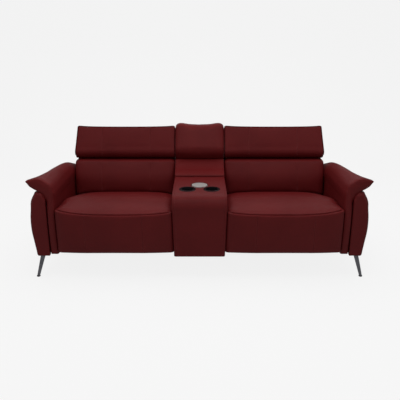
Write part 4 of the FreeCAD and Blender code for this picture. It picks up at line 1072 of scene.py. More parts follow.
def prism(corners: Sequence[Pair], low: float, high: float, axis: int) -> bpy.types.Mesh:
    """A solid between two planes, as a cutter.

    Args:
        corners: Its outline, in millimetres.
        low: Where it starts along the axis.
        high: Where it ends.
        axis: 0 for an outline in y and z, 2 for one in x and y.

    Returns:
        The solid's mesh, in metres.
    """
    count = len(corners)
    rings = []
    for level in (low, high):
        rings += [(level, a, b) if axis == 0 else (a, b, level) for a, b in corners]
    faces = [tuple(range(count)), tuple(range(2 * count - 1, count - 1, -1))]
    faces += [(i, (i + 1) % count, count + (i + 1) % count, count + i) for i in range(count)]
    mesh = bpy.data.meshes.new("cutter")
    mesh.from_pydata(to_metres(np.array(rings)).tolist(), [], faces)
    tidy_normals(mesh)
    return mesh


def circle(x: float, y: float, radius: float, count: int = 64) -> list[Pair]:
    """Points on a circle."""
    turns = [2 * math.pi * i / count for i in range(count)]
    return [(x + radius * math.cos(t), y + radius * math.sin(t)) for t in turns]


@dataclass
class Loft:
    """How sections are strung along one axis into a padded form with rounded ends.

    Attributes:
        axis: 0 to string sections in y and z along x, 1 to string sections in x and z along y.
        low: Where the form starts.
        high: Where it ends.
        anchor: The point that the ends draw in towards.
        length: How long each rounded end is, at the start and at the finish.
        draw: How far the ends draw in along each coordinate of the section.
        step: Distance between sections.
        turns: Sections in each rounded end.
        cap_swell: How far the caps swell.
        even: Whether the ends draw in evenly all round, and not towards the anchor.
    """

    axis: int
    low: float
    high: float
    anchor: Pair
    length: Pair = (30.0, 30.0)
    draw: Pair = (12.0, 12.0)
    step: float = 27.0
    turns: int = 5
    cap_swell: Pair = (1.5, 1.5)
    even: bool = False

    def shares(self, places: np.ndarray) -> np.ndarray:
        """Places as shares from -1 to 1."""
        return (2 * places - self.low - self.high) / (self.high - self.low)

    def build(self, outline: Outline, corners_at: Callable[[float], Sequence[Corner]],
              columns: Iterable[float] = ()) -> PaddedForm:
        """Strings the sections.

        Args:
            outline: The outline with its counts.
            corners_at: The section's corners at a share from -1 to 1.
            columns: Places at which a section must stand.

        Returns:
            The form, on a coarse grid.
        """
        angles = np.linspace(0, math.pi / 2, self.turns + 1)
        start = self.low + self.length[0] * (1 - np.sin(angles[::-1]))
        finish = self.high - self.length[1] * (1 - np.sin(angles))
        stops = np.unique(np.concatenate([[start[-1]], np.array(sorted(columns)), [finish[0]]]))
        middle = [np.linspace(a, b, max(1, round((b - a) / self.step)) + 1)[:-1]
                  for a, b in zip(stops[:-1], stops[1:])]
        places = np.concatenate([start[:-1], *middle, finish])
        rings = []
        for place, share in zip(places, self.shares(places)):
            section = outline.sample(corners_at(float(np.clip(share, -1, 1))))
            offset = section - self.anchor
            reach = np.abs(offset).max(axis=0)
            if self.even:
                tangent = np.roll(section, -1, axis=0) - np.roll(section, 1, axis=0)
                offset = np.stack([tangent[:, 1], -tangent[:, 0]], 1) * Outline.turn_of(section)
                reach = np.linalg.norm(offset, axis=1, keepdims=True)
            near = min((place - self.low) / max(self.length[0], TINY),
                       (self.high - place) / max(self.length[1], TINY), 1.0)
            inset = 1 - math.sqrt(max(0.0, 1 - (1 - near) ** 2))
            section = section - offset / reach * np.array(self.draw) * inset
            level = np.full((len(section), 1), place)
            first, second = section[:, :1], section[:, 1:]
            parts = [level, first, second] if self.axis == 0 else [first, level, second]
            rings.append(np.concatenate(parts, axis=1))
        return PaddedForm(np.array(rings), places, self.cap_swell)


def crown(share: float) -> float:
    """The height of a cushion's crown at a share of its width from -1 to 1."""
    return 1 - abs(share) ** 4


@dataclass
class Seat:
    """The seat cushion and the footrest in front of it."""

    # The crease between cushion and footrest, and how far it climbs at each end.
    lip: float = 457.0
    lip_rise: Pair = (16.0, 30.0)
    # How far the front bows back, and the top falls, towards the ends.
    sweep: float = 14.0
    drop: float = 7.0
    # The cushion's section from its front roll to its tail and its hidden underside.
    roll: tuple[Pair, Pair] = ((46.0, 479.0), (140.0, 495.0))
    swell: Pair = (270.0, 501.0)
    rear: Pair = (590.0, 438.0)
    tail: float = 612.0
    tail_levels: Pair = (410.0, 346.0)
    bed: Pair = (80.0, 385.0)
    overlap: float = 2.0
    # How far its rear corners fall, and over what height.
    droop: Pair = (24.0, 34.0)
    droop_height: float = 50.0
    # The footrest's section, and how far its inner end follows the console.
    footrest_foot: float = 181.0
    footrest_back: float = 60.0
    footrest_lean: float = 12.0
    lip_gap: float = 2.0
    inner_reach: float = 200.0
    seam_shares: Pair = (0.25, 0.75)

    def lip_at(self, share: float) -> float:
        """The height of the crease between the cushion and the footrest, which climbs towards the ends."""
        return self.lip + (self.lip_rise[0] * share ** 4 if share < 0 else self.lip_rise[1] * share ** 3)

    def cushion_corners(self, share: float) -> list[Corner]:
        """The seat cushion's section: its front rolls down to the crease in one long curve."""
        rest = 1 - crown(share)
        front, lip = self.sweep * rest, self.lip_at(share)
        near, far = self.roll
        return [Corner(front, lip, 3, 0, 8), Corner(front + near[0], near[1] + (lip - self.lip) * 0.6, 70, 0, 6),
                Corner(front + far[0], far[1] - self.drop * rest, 180, 0, 10),
                Corner(self.swell[0], self.swell[1] - self.drop * rest, 260, 0, 22),
                Corner(*self.rear, 34, 0, 10), Corner(self.tail, self.tail_levels[0], 8, 0, 16),
                Corner(self.tail, self.tail_levels[1], 4, 0, 60), Corner(*self.bed, 4, 0, 26),
                Corner(self.bed[0], lip, 0, 0, 24)]

    def footrest_corners(self, share: float) -> list[Corner]:
        """The footrest pad's section."""
        front, top = self.sweep * (1 - crown(share)), self.lip_at(share) - self.lip_gap
        return [Corner(self.footrest_back, top, 3, 0, 18), Corner(front, top, 5, 5, 8),
                Corner(front + self.footrest_lean, self.footrest_foot, 20, 0, 8),
                Corner(self.footrest_back, self.footrest_foot, 4, 0, 40)]

    def sag(self, form: PaddedForm, shares: np.ndarray) -> None:
        """Lets the cushion's rear corners fall."""
        depth = np.clip(form.grid[..., 1] / self.rear[0], 0, 1) ** 2
        fall = np.where(shares < 0, self.droop[0], self.droop[1]) * np.abs(shares) ** 4
        height = np.clip((form.grid[..., 2] - self.bed[1]) / self.droop_height, 0, 1)
        form.grid[..., 2] -= fall[:, None] * depth * height

    def follow_console(self, form: PaddedForm) -> None:
        """Brings the footrest's inner end up to the console, which narrows towards the floor."""
        height = np.clip((Console.top - form.grid[..., 2]) / (Console.top - BASE_HEIGHT), 0, 1)
        near = np.clip(1 - (form.grid[..., 0] - BAY_INNER) / self.inner_reach, 0, 1)
        form.grid[..., 0] -= (CONSOLE_HALF - Console.foot_half) * height * near

    def make_cushion(self, bench: Bench) -> None:
        """Makes the seat cushions."""
        outline = Outline(self.cushion_corners(0.0), 5)
        loft = Loft(0, BAY_INNER - self.overlap, BAY_OUTER + self.overlap, anchor=(330.0, self.bed[1]),
                    length=(46.0, 46.0), draw=(10.0, 20.0), step=28.0)
        form = loft.build(outline, self.cushion_corners)
        self.sag(form, loft.shares(form.places))
        rear = outline.mark(5)
        held = form.hold([(slice(rear - 1, None), 1.0), (slice(3), 0.85)])
        Stuffing(pressure=3.0, limit=9.0, stiffness=18.0, bending=2.0).swell(form, held)
        form.refine(PAD_PARTS)
        form.sew([Seam(Line.ROW, 1, depth=0.6, width=4.0, stitches=(3.2,))], PAD_PARTS)
        bench.cover(form, "seat_cover", "seat", tuple(Side), ["seat_cushion"], 0.8)

    def make_footrest(self, bench: Bench) -> None:
        """Makes the footrest pads with their two sewn channels."""
        seams = [BAY_INNER + SEAT_WIDTH * share for share in self.seam_shares]
        outline = Outline(self.footrest_corners(0.0), 2)
        loft = Loft(0, BAY_INNER, BAY_OUTER, anchor=(self.footrest_back, 318.0), length=(22.0, 22.0),
                    draw=(13.0, 3.0), cap_swell=(0.5, 0.5))
        form = loft.build(outline, self.footrest_corners, seams)
        self.follow_console(form)
        foot = outline.mark(2)
        held = form.hold([(slice(foot + 2, None), 1.0), (slice(2), 1.0)], seams, 0.9)
        Stuffing(pressure=3.0, limit=7.0, stiffness=20.0, bending=2.0).swell(form, held)
        form.refine(PAD_PARTS, beside(seams, PAD_SEAM_OFFSETS))
        form.sew([Seam(Line.COLUMN, place, outline.mark(1) - 2, foot, depth=1.3, width=5.0)
                  for place in seams], PAD_PARTS)
        bench.cover(form, "footrest_cover", "footrest", tuple(Side), ["footrest_pad"], 0.7)

    def make(self, bench: Bench) -> None:
        """Makes the seat's pads."""
        self.make_cushion(bench)
        self.make_footrest(bench)


@dataclass
class Backrest:
    """The lower back cushion and the headrest above it."""

    # The cushion's section, which bows back at the ends and whose top is held still.
    foot: Pair = (600.0, 423.0)
    swell: Pair = (608.0, 545.0)
    top: Pair = (670.0, 662.5)
    bulge: float = 18.0
    tail: float = 700.0
    top_rear: float = 764.0
    foot_fall: float = 30.0
    top_hold: Pair = (22.0, 16.0)
    side_gap: float = 2.5
    seam_shares: Pair = (0.245, 0.725)
    # The headrest's section about its rod, which is held still near its foot.
    pivot: Pair = (735.0, 722.0)
    lean_deg: float = 24.0
    headrest_top: float = 912.0
    headrest_radius: float = 54.5
    headrest_thickness: float = 84.0
    headrest_foot_radius: float = 53.0
    headrest_dent: float = 8.0
    headrest_crown: float = 9.0
    headrest_hold: Pair = (6.0, 36.0)
    headrest_gap: Pair = (3.0, 5.0)
    headrest_taper: float = 17.0
    # Where the piping lies.
    piping_inset: float = 0.7
    piping_lift: float = 0.8
    top_piping_lift: float = 0.6
    # Room for the rod, and slots for its two arms.
    hinge_bore: float = 9.0
    hinge_arm: Pair = (120.0, 124.0)
    slot_play: float = 1.2
    slot_radii: Pair = (80.0, 16.0)
    slot_turns_deg: tuple[Pair, Pair] = ((-23.0, -121.0), (-140.0, -364.0))
    slot_points: int = 15

    def cushion_corners(self, share: float) -> list[Corner]:
        """The lower back cushion's section."""
        rest = self.bulge * (1 - crown(share))
        foot = self.foot[1] - self.foot_fall * (1 - crown(share))
        return [Corner(self.foot[0] + rest / 2, foot, 26, 0, 9),
                Corner(self.swell[0] + rest, self.swell[1], 200, 0, 18),
                Corner(self.top[0] + rest / 2, self.top[1], 34, 0, 8),
                Corner(self.top_rear, self.top[1], 8, 0, 20), Corner(self.tail, foot, 8, 0, 26)]

    def headrest_corners(self, share: float) -> list[Corner]:
        """The headrest's section: its lower edge is round about its pivot."""
        lean = math.radians(self.lean_deg)
        up = np.array([math.sin(lean), math.cos(lean)])
        out = np.array([-math.cos(lean), math.sin(lean)])
        radius, rest = self.headrest_radius, 1 - crown(share)
        dent = self.headrest_dent * rest
        top = self.headrest_top - self.headrest_crown * (1 - rest)
        reach = (top - self.pivot[1] - radius * out[1]) / up[1]
        base = np.array(self.pivot)
        front_top = base + out * (radius - dent) + up * reach
        rear_top = front_top - out * (self.headrest_thickness - dent)
        front_foot = base + out * (radius - dent) - up * radius
        rear_foot = base - out * radius - up * radius
        return [Corner(*front_top, 12, 0, 8), Corner(*rear_top, 22, 0, 10),
                Corner(*rear_foot, self.headrest_foot_radius, 0, 11),
                Corner(*front_foot, self.headrest_foot_radius, 0, 10)]

    def seam_places(self) -> list[float]:
        """Places of the upright seams across a seat."""
        return [BAY_INNER + SEAT_WIDTH * share for share in self.seam_shares]

    def make_cushion(self, bench: Bench) -> None:
        """Makes the lower back cushions."""
        seams = self.seam_places()
        outline = Outline(self.cushion_corners(0.0), 3)
        loft = Loft(0, BAY_INNER + self.side_gap, BAY_OUTER - self.side_gap, anchor=(self.tail, self.foot[1]),
                    length=(44.0, 44.0), draw=(22.0, 17.0))
        form = loft.build(outline, self.cushion_corners, seams)
        rear = outline.mark(3)
        held = form.hold([(slice(rear, None), 1.0), (slice(1), 1.0)], seams, 0.85)
        under_top = form.grid[..., 2] - self.top[1] + self.top_hold[0]
        held = np.maximum(held, np.clip(under_top / self.top_hold[1], 0, 1))
        Stuffing(pressure=4.0, limit=9.0, stiffness=18.0, bending=2.0).swell(form, held)
        form.refine(PAD_PARTS, beside(seams, PAD_SEAM_OFFSETS))
        form.sew([Seam(Line.COLUMN, place, 1, rear - 1, depth=1.3, width=5.0) for place in seams], PAD_PARTS)
        bench.cover(form, "back_cover", "back", tuple(Side), ["back_cushion"], 0.8)

    def hinge_cutters(self) -> list[bpy.types.Mesh]:
        """The slots and the bore that leave room for the headrest's hinge."""
        arcs = [np.radians(np.linspace(*turn, self.slot_points)) for turn in self.slot_turns_deg]
        slot = [(self.pivot[0] + radius * math.cos(a), self.pivot[1] + radius * math.sin(a))
                for radius, arc in zip(self.slot_radii, arcs) for a in arc]
        near, far = self.hinge_arm
        cutters = [prism(circle(*self.pivot, self.hinge_bore, 32), BAY_INNER, BAY_OUTER, 0)]
        for start, end in ((BAY_INNER + near, BAY_INNER + far), (BAY_OUTER - far, BAY_OUTER - near)):
            cutters.append(prism(slot, start - self.slot_play, end + self.slot_play, 0))
        return cutters

    def make_headrest(self, bench: Bench) -> None:
        """Makes the headrests with piping round their front panels."""
        seams = self.seam_places()
        outline = Outline(self.headrest_corners(0.0), 2)
        low, high = BAY_INNER + self.headrest_gap[0], BAY_OUTER - self.headrest_gap[1]
        loft = Loft(0, low, high, anchor=self.pivot, length=(14.0, 14.0), draw=(8.0, 8.0), cap_swell=(2.0, 2.0))
        form = loft.build(outline, self.headrest_corners, seams)
        rise = np.clip((form.grid[..., 2] - self.pivot[1]) / (self.headrest_top - self.pivot[1]), 0, 1)
        beyond = np.clip((form.grid[..., 0] - seams[1]) / (high - seams[1]), 0, 1)
        form.grid[..., 0] -= self.headrest_taper * rise * beyond
        rear, tail, foot = outline.mark(1), outline.mark(2), outline.mark(3)
        held = form.hold([(slice(tail - 2, foot + 3), 1.0), (slice(2), 0.7), (slice(-1, None), 0.7)], seams, 0.85)
        lean = math.radians(self.lean_deg)
        height = ((form.grid[..., 1] - self.pivot[0]) * math.sin(lean)
                  + (form.grid[..., 2] - self.pivot[1]) * math.cos(lean))
        held = np.maximum(held, np.clip(1 - (height - self.headrest_hold[0]) / self.headrest_hold[1], 0, 1))
        Stuffing(pressure=3.5, limit=8.0, stiffness=18.0, bending=2.0).swell(form, held)
        form.refine(PAD_PARTS, beside(seams, PAD_SEAM_OFFSETS))
        around = form.grid.shape[1]
        runs = ((foot - 1, around // PAD_PARTS), (0, rear + 2))
        form.sew([Seam(Line.COLUMN, place, *run, depth=1.0, width=5.0) for run in runs for place in seams], PAD_PARTS)
        bench.cover(form, "headrest_cover", "headrest", tuple(Side), ["headrest_pad"], 0.8, self.hinge_cutters())
        near = form.ring_path(low + self.piping_inset, foot * PAD_PARTS, around - 1, self.piping_lift)
        far = form.ring_path(high - self.piping_inset, foot * PAD_PARTS, around - 1, self.piping_lift)
        top = form.row_path(0, self.top_piping_lift)
        for side in Side:
            bench.trim(TrimTree.PIPING, side.value + "_headrest_piping", [near, far, top], side.value + "_headrest",
                       side)

    def make(self, bench: Bench) -> None:
        """Makes the backrest's pads."""
        self.make_cushion(bench)
        self.make_headrest(bench)


@dataclass
class Shell:
    """The upholstered rear shell of a back, with a cheek at each side."""

    rear: float = 950.0
    foot: Pair = (923.6, 399.5)
    top: float = 866.0
    front: float = 844.0
    wall: float = 18.0
    side_gap: float = 3.0
    # The cheeks' faces, counted from the shell's ends, and their outline.
    cheek: Pair = (4.5, 10.5)
    cheek_outline: tuple[Pair, ...] = ((697.4, 412.0), (764.3, 663.7), (801.0, 722.0), (844.0, 848.3), (932.3, 848.3),
                                       (906.3, 412.0))
    seam_shares: Pair = (0.25, 0.75)

    def sheet_corners(self, share: float) -> list[Corner]:
        """The section of the rear and top wall."""
        return [Corner(*self.foot, 6, 2.5, 14), Corner(self.rear, self.top, 36, 0, 8),
                Corner(self.front, self.top, 6, 0, 8),
                Corner(self.front, self.top - self.wall, 4, 0, 8),
                Corner(self.rear - self.wall, self.top - self.wall, 12, 0, 8),
                Corner(self.foot[0] - self.wall, self.foot[1], 4, 0, 16)]

    def cheek_corners(self, share: float) -> list[Corner]:
        """The cheek's outline."""
        return [Corner(*spot, 4, 0, 24) for spot in self.cheek_outline]

    def make(self, bench: Bench) -> None:
        """Makes the shells."""
        low, high = BAY_INNER + self.side_gap, BAY_OUTER - self.side_gap
        seams = [low + (high - low) * share for share in self.seam_shares]
        outline = Outline(self.sheet_corners(0.0), 2)
        loft = Loft(0, low, high, anchor=(900.0, 700.0), length=(9.0, 9.0), draw=(6.0, 5.0), step=30.0, turns=3,
                    cap_swell=(0.4, 0.4), even=True)
        form = loft.build(outline, self.sheet_corners, seams)
        form.refine(SHEET_PARTS, beside(seams, SHELL_SEAM_OFFSETS))
        form.sew([Seam(Line.COLUMN, place, 1, outline.mark(2) - 1, depth=1.8, width=6.0)
                   for place in seams], SHEET_PARTS)
        bench.cover(form, "shell_cover", "back", tuple(Side), ["back_panel"], 0.9)
        cheeks = Outline(self.cheek_corners(0.0), 3)
        for name, start, end in (("inner_cheek", low + self.cheek[0], low + self.cheek[1]),
                                 ("outer_cheek", high - self.cheek[1], high - self.cheek[0])):
            loft = Loft(0, start, end, anchor=(820.0, 630.0), length=(1.5, 1.5), draw=(1.5, 1.5), step=3.0, turns=2,
                        cap_swell=(0.0, 0.0), even=True)
            bench.cover(loft.build(cheeks, self.cheek_corners), name, "back", tuple(Side), (), 1.0)


@dataclass
class Console:
    """The console between the seats: one leather skin over the top and the front, and the two back pads."""

    # The skin's section and its width at the floor.
    front: float = 9.5
    box_front: float = 12.0
    top: float = 574.0
    seam: float = 500.3
    foot: float = 166.0
    crease: float = 515.0
    roll: float = 82.0
    foot_half: float = 170.0
    back_half: float = 183.5
    edge_inset: float = 18.0
    play: float = 0.3
    # The lower back pad, which bows back at the ends.
    lower_dish: float = 12.0
    lower_lip: Pair = (523.0, 589.0)
    lower_brow: Pair = (612.0, 613.0)
    lower_rear: Pair = (682.0, 760.0)
    # The upper back pad, from the ledge below it to the ears on its top.
    ledge: float = 667.0
    upper_dish: float = 14.0
    upper_foot: float = 686.0
    belly: Pair = (645.0, 68.0)
    upper_rear: Triple = (757.0, 905.0, 929.4)
    back_top: float = 922.0
    back_round: float = 42.0
    ear: float = 10.0
    ear_shares: Pair = (0.76, 0.25)
    # The holes in the skin: cups, charging pad and the switches' pockets.
    cup: Pair = (82.0, 204.0)
    cup_hole: float = 44.3
    disc_y: float = 298.0
    disc_hole: float = 60.5
    disc_floor: float = 567.2
    switch: tuple[float, float, float, float] = (205.0, 537.0, 31.3, 14.3)
    pocket: float = 13.0
    pocket_overrun: float = 9.0
    overrun: float = 20.0
    # The side boards.
    board_levels: Pair = (186.0, 492.0)
    board_ends: Pair = (48.0, 560.0)
    board_edge: float = 4.0
    board_slope: float = 2.6
    board_chamfer: float = 1.0

    def skin_corners(self, share: float) -> list[Corner]:
        """The section of the skin over the top and the front."""
        return [Corner(self.crease, self.top, 4, 0, 12), Corner(self.front, self.top, self.roll, 0, 8),
                Corner(self.front, self.foot, 2, 0, 14), Corner(self.box_front - self.play, self.foot, 0, 0, 14),
                Corner(self.box_front - self.play, self.seam, 0, 0, 14), Corner(self.crease, self.seam, 0, 0, 20)]

    def lower_corners(self, share: float) -> list[Corner]:
        """The lower back pad's section."""
        rest = self.lower_dish * (1 - crown(share))
        near, far = self.lower_rear
        foot, top = self.top + self.play, self.ledge - self.play
        return [Corner(self.crease + rest / 2, foot, 4, 0, 6),
                Corner(self.lower_lip[0] + rest, self.lower_lip[1], 13, 0, 8),
                Corner(self.lower_brow[0] + rest / 2, self.lower_brow[1], 140, 0, 8), Corner(near, top, 20, 0, 8),
                Corner(far, top, 4, 0, 22), Corner(far, foot, 4, 0, 22)]

    def upper_corners(self, share: float) -> list[Corner]:
        """The upper back pad's section, with a belly that curls under and a raised ear near each end."""
        rest, rounding = self.upper_dish * (1 - crown(share)), self.back_round
        place, spread = self.ear_shares
        top = self.back_top + self.ear * math.exp(-((abs(share) - place) / spread) ** 2)
        near, far, foot = self.upper_rear
        return [Corner(self.upper_foot + rest, self.ledge, 22, 0, 8),
                Corner(self.belly[0] + rest, self.ledge + self.belly[1], 110, 0, 8),
                Corner(near + rest, top, rounding, 0, 9), Corner(far, top - rounding, rounding, 0, 10),
                Corner(foot, self.ledge, 4, 0, 18)]

    def taper(self, form: PaddedForm) -> None:
        """Narrows the console towards the floor."""
        height = np.clip((form.grid[..., 2] - BASE_HEIGHT) / (self.top - BASE_HEIGHT), 0, 1)
        form.grid[..., 0] *= (self.foot_half + (CONSOLE_HALF - self.foot_half) * height) / CONSOLE_HALF

    def make_skin(self, bench: Bench) -> None:
        """Makes the skin with its holes for the cups, the charging pad and the switches."""
        outline = Outline(self.skin_corners(0.0), 2)
        edges = [self.edge_inset - CONSOLE_HALF, CONSOLE_HALF - self.edge_inset]
        loft = Loft(0, -CONSOLE_HALF, CONSOLE_HALF, anchor=(self.crease, 320.0), length=(15.0, 15.0),
                    draw=(11.0, 9.0), step=22.0, turns=6, cap_swell=(0.3, 0.3))
        form = loft.build(outline, self.skin_corners, edges)
        self.taper(form)
        form.refine(SHEET_PARTS, beside(edges, SKIN_SEAM_OFFSETS))
        form.sew([Seam(Line.COLUMN, edge, 1, outline.mark(2) - 1, depth=0.9, width=4.0,
                        stitches=(2.4,) if edge < 0 else (-2.4,)) for edge in edges], SHEET_PARTS)
        below, above = self.seam - self.overrun, self.top + self.overrun
        cutters = [prism(circle(side.sign * self.cup[0], self.cup[1], self.cup_hole), below, above, 2)
                   for side in Side]
        cutters.append(prism(circle(0.0, self.disc_y, self.disc_hole), self.disc_floor, above, 2))
        y, z, half_y, half_z = self.switch
        pocket = [(y - half_y, z - half_z), (y + half_y, z - half_z), (y + half_y, z + half_z),
                  (y - half_y, z + half_z)]
        for side in Side:
            ends = sorted(side.sign * (CONSOLE_HALF + reach) for reach in (-self.pocket, self.pocket_overrun))
            cutters.append(prism(pocket, *ends, 0))
        bench.cover(form, "console_skin", "base", (), ["console_top"], 0.9, cutters)

    def make_back(self, bench: Bench) -> None:
        """Makes the two back pads of the console."""
        half = self.back_half
        for name, corners_at, pole, node, anchor, draw, limit in (
                ("console_lower_pad", self.lower_corners, 4, "console_back_lower", (760.0, 574.0), (11.0, 6.0), 3.0),
                ("console_upper_pad", self.upper_corners, 3, "console_back_upper", (905.0, 640.0), (16.0, 26.0), 5.0)):
            outline = Outline(corners_at(0.0), pole)
            loft = Loft(0, -half, half, anchor, draw=draw, step=20.0, turns=6, cap_swell=(0.5, 0.5))
            form = loft.build(outline, corners_at)
            held = form.hold([(slice(outline.mark(pole) - 1, None), 1.0), (slice(1), 1.0)])
            Stuffing(pressure=3.0, limit=limit, stiffness=20.0, bending=2.5).swell(form, held)
            form.refine(PAD_PARTS)
            bench.cover(form, name, "base", (), [node], 0.8)

    def make_sides(self, bench: Bench) -> None:
        """Makes the straight side boards behind the tapered front."""
        for side in Side:
            low, high = self.foot_half + self.board_chamfer, BAY_INNER - self.board_chamfer
            (bottom, top), (near, far) = self.board_levels, self.board_ends
            ring = [(low, bottom), (high, bottom), (high, top), (CONSOLE_HALF - self.board_slope, top)]
            end = [ring[0]] + [(x - self.board_chamfer, z) for x, z in ring[1:]]
            stations = ((near, end), (near + self.board_edge, ring), (far - self.board_edge, ring), (far, end))
            vertices = [(x, y, z) for y, section in stations for x, z in section]
            faces = shell_faces(4, 4) + [(3, 2, 1, 0), (12, 13, 14, 15)]
            bench.put(side.value + "_console_side_board", np.array(vertices), faces, "base", Finishes.LEATHER,
                      side=side)

    def make(self, bench: Bench) -> None:
        """Makes the console."""
        self.make_skin(bench)
        self.make_back(bench)
        self.make_sides(bench)


@dataclass
class Arm:
    """An arm: the panel with its flared wing in one cover, the outer pad and the floor board."""

    # The panel, and how far the wing reaches out and up from its root.
    front: float = 32.0
    rear: float = 936.0
    width: float = 53.0
    root: float = 545.3
    reach: float = 132.0
    rise: float = 157.0
    # How far the front edge recedes below and above the waist.
    nose: Pair = (10.0, 13.0)
    nose_reach: float = 160.0
    waist: float = 400.0
    # The floor board: its sides, underside, top, ends and chamfer.
    board: tuple[float, float, float, float] = (1001.0, 1078.0, 163.4, 172.2)
    board_ends: Pair = (84.0, 888.0)
    board_edge: float = 2.0
    # The outer pad's section, whose crest falls towards the rear.
    pad_foot: float = 160.0
    pad_inner: float = 1003.0
    pad_lip: float = 1095.0
    pad_clear: Pair = (2.0, 1.0)
    pad_belly: tuple[Pair, Pair] = ((1126.0, 372.0), (1108.0, 545.0))
    pad_crest: tuple[Pair, Pair, float] = ((1070.0, 611.0), (1026.0, 608.0), 566.0)
    pad_fall: Pair = (34.0, 26.0)
    # The wing's reach and rise as shares, by their place along the arm.
    stations: tuple[Triple, ...] = (
        (0.0, 1.0, 1.0), (0.035, 0.93, 0.995), (0.08, 0.75, 0.985), (0.2, 0.49, 0.965), (0.36, 0.32, 0.93),
        (0.52, 0.23, 0.86), (0.68, 0.17, 0.71), (0.76, 0.15, 0.59), (0.86, 0.12, 0.4), (1.0, 0.08, 0.14))

    def cover_corners(self, share: float) -> list[Corner]:
        """The section of the panel and the wing."""
        table = np.array(self.stations)
        along = (share + 1) / 2
        reach, rise = hermite(table[:, 1:], table[:, 0], np.array([along]))[0]
        outer, height, wing = ARM_INNER + self.width, self.rise * rise, self.reach * reach
        return [Corner(ARM_INNER, BASE_HEIGHT, 7, 0, 26), Corner(ARM_INNER, self.root + height * 0.3, 60, 0, 10),
                Corner(ARM_INNER + self.width * 0.32, self.root + height * 0.68, 70, 0, 8),
                Corner(outer + wing * 0.3, self.root + height, 80, 0, 9),
                Corner(outer + wing, self.root + height * 0.83, 6, 0, 7),
                Corner(outer + wing * 0.78, self.root + height * 0.57, 26, 2 * reach, 8),
                Corner(outer + wing * 0.18, self.root + height * 0.28, 60, 0, 9),
                Corner(outer, self.root - 10, 40, 0, 10), Corner(outer, BASE_HEIGHT, 7, 0, 26)]

    def pad_corners(self, share: float) -> list[Corner]:
        """The section of the outer pad, whose underside clears the floor board between its ends."""
        along = (share + 1) / 2
        start, finish = ((end - self.front) / (self.rear - self.front) for end in self.board_ends)
        inset, above = self.pad_clear
        floor = self.board[3] + above if start - 0.02 < along < finish + 0.02 else self.pad_foot + above
        edge = self.board[1] + inset
        belly, shoulder = self.pad_belly
        outer, inner, root = self.pad_crest
        fall = self.pad_fall[0] * along
        return [Corner(self.pad_inner, floor, 2, 0, 16), Corner(edge, floor, 0, 0, 16),
                Corner(edge + 0.5, self.pad_foot, 2, 0, 6), Corner(self.pad_lip, self.pad_foot, 10, 0, 6),
                Corner(*belly, 900, 0, 11), Corner(*shoulder, 300, 0, 9),
                Corner(outer[0], outer[1] - fall, 60, 0, 8), Corner(inner[0], inner[1] - fall, 44, 0, 8),
                Corner(self.pad_inner, root - self.pad_fall[1] * along, 30, 0, 8)]

    def make_cover(self, bench: Bench) -> None:
        """Makes the covers of the panels and wings."""
        outline = Outline(self.cover_corners(-1.0), 4)
        loft = Loft(1, self.front, self.rear, anchor=(975.0, 400.0), length=(30.0, 12.0), draw=(10.0, 10.0),
                    step=24.0, turns=6, cap_swell=(6.0, 1.0), even=True)
        form = loft.build(outline, self.cover_corners)
        height = form.grid[..., 2]
        below = np.clip((self.waist - height) / (self.waist - BASE_HEIGHT), 0, 1)
        above = np.clip((height - self.waist) / (self.root - self.waist), 0, 1)
        fade = np.clip(1 - (form.grid[..., 1] - self.front) / self.nose_reach, 0, 1)
        form.grid[..., 1] += (self.nose[0] * below ** 2 + self.nose[1] * above ** 2) * fade
        tip = outline.mark(4)
        held = form.hold([(slice(tip + 4, None), 1.0), (slice(outline.mark(1) - 4), 1.0)])
        held[1:4] = np.maximum(held[1:4], 0.5)
        Stuffing(pressure=3.0, limit=6.0, stiffness=20.0, bending=2.5).swell(form, held)
        form.refine(PAD_PARTS)
        form.sew([Seam(Line.ROW, tip, depth=0.6, width=4.0, stitches=(-3.6,))], PAD_PARTS)
        bench.cover(form, "arm_cover", "base", tuple(Side), ["arm_frame", "arm_wing"], 0.8)

    def make_pad(self, bench: Bench) -> None:
        """Makes the outer pads."""
        outline = Outline(self.pad_corners(-1.0), 6)
        edges = [end + offset for end, offset in zip(self.board_ends, (-12.0, 12.0))]
        loft = Loft(1, self.front, self.rear, anchor=(self.pad_inner, self.pad_foot), length=(48.0, 34.0),
                    draw=(22.0, 26.0), step=28.0, turns=6, cap_swell=(1.0, 0.5))
        form = loft.build(outline, self.pad_corners, edges)
        held = form.hold([(slice(outline.mark(7) + 2, None), 1.0), (slice(outline.mark(3) + 2), 1.0)])
        Stuffing(pressure=3.0, limit=5.0, stiffness=20.0, bending=2.5).swell(form, held)
        form.refine(PAD_PARTS)
        bench.cover(form, "arm_outer_cover", "base", tuple(Side), ["arm_side_pad"], 0.8)

    def make_board(self, bench: Bench) -> None:
        """Makes the floor boards above the legs."""
        for side in Side:
            low, high, bottom, top = self.board
            (near, far), edge = self.board_ends, self.board_edge
            ring = [(low, bottom), (high - edge, bottom), (high, bottom + edge), (high, top), (low, top)]
            vertices = [(x, y, z) for y in (near, near + edge, far - edge, far) for x, z in ring]
            faces = shell_faces(4, 5) + [(4, 3, 2, 1, 0), (15, 16, 17, 18, 19)]
            bench.put(side.value + "_arm_board", np.array(vertices), faces, "base", Finishes.BOARD,
                      side=side)

    def make(self, bench: Bench) -> None:
        """Makes the arms."""
        self.make_cover(bench)
        self.make_pad(bench)
        self.make_board(bench)


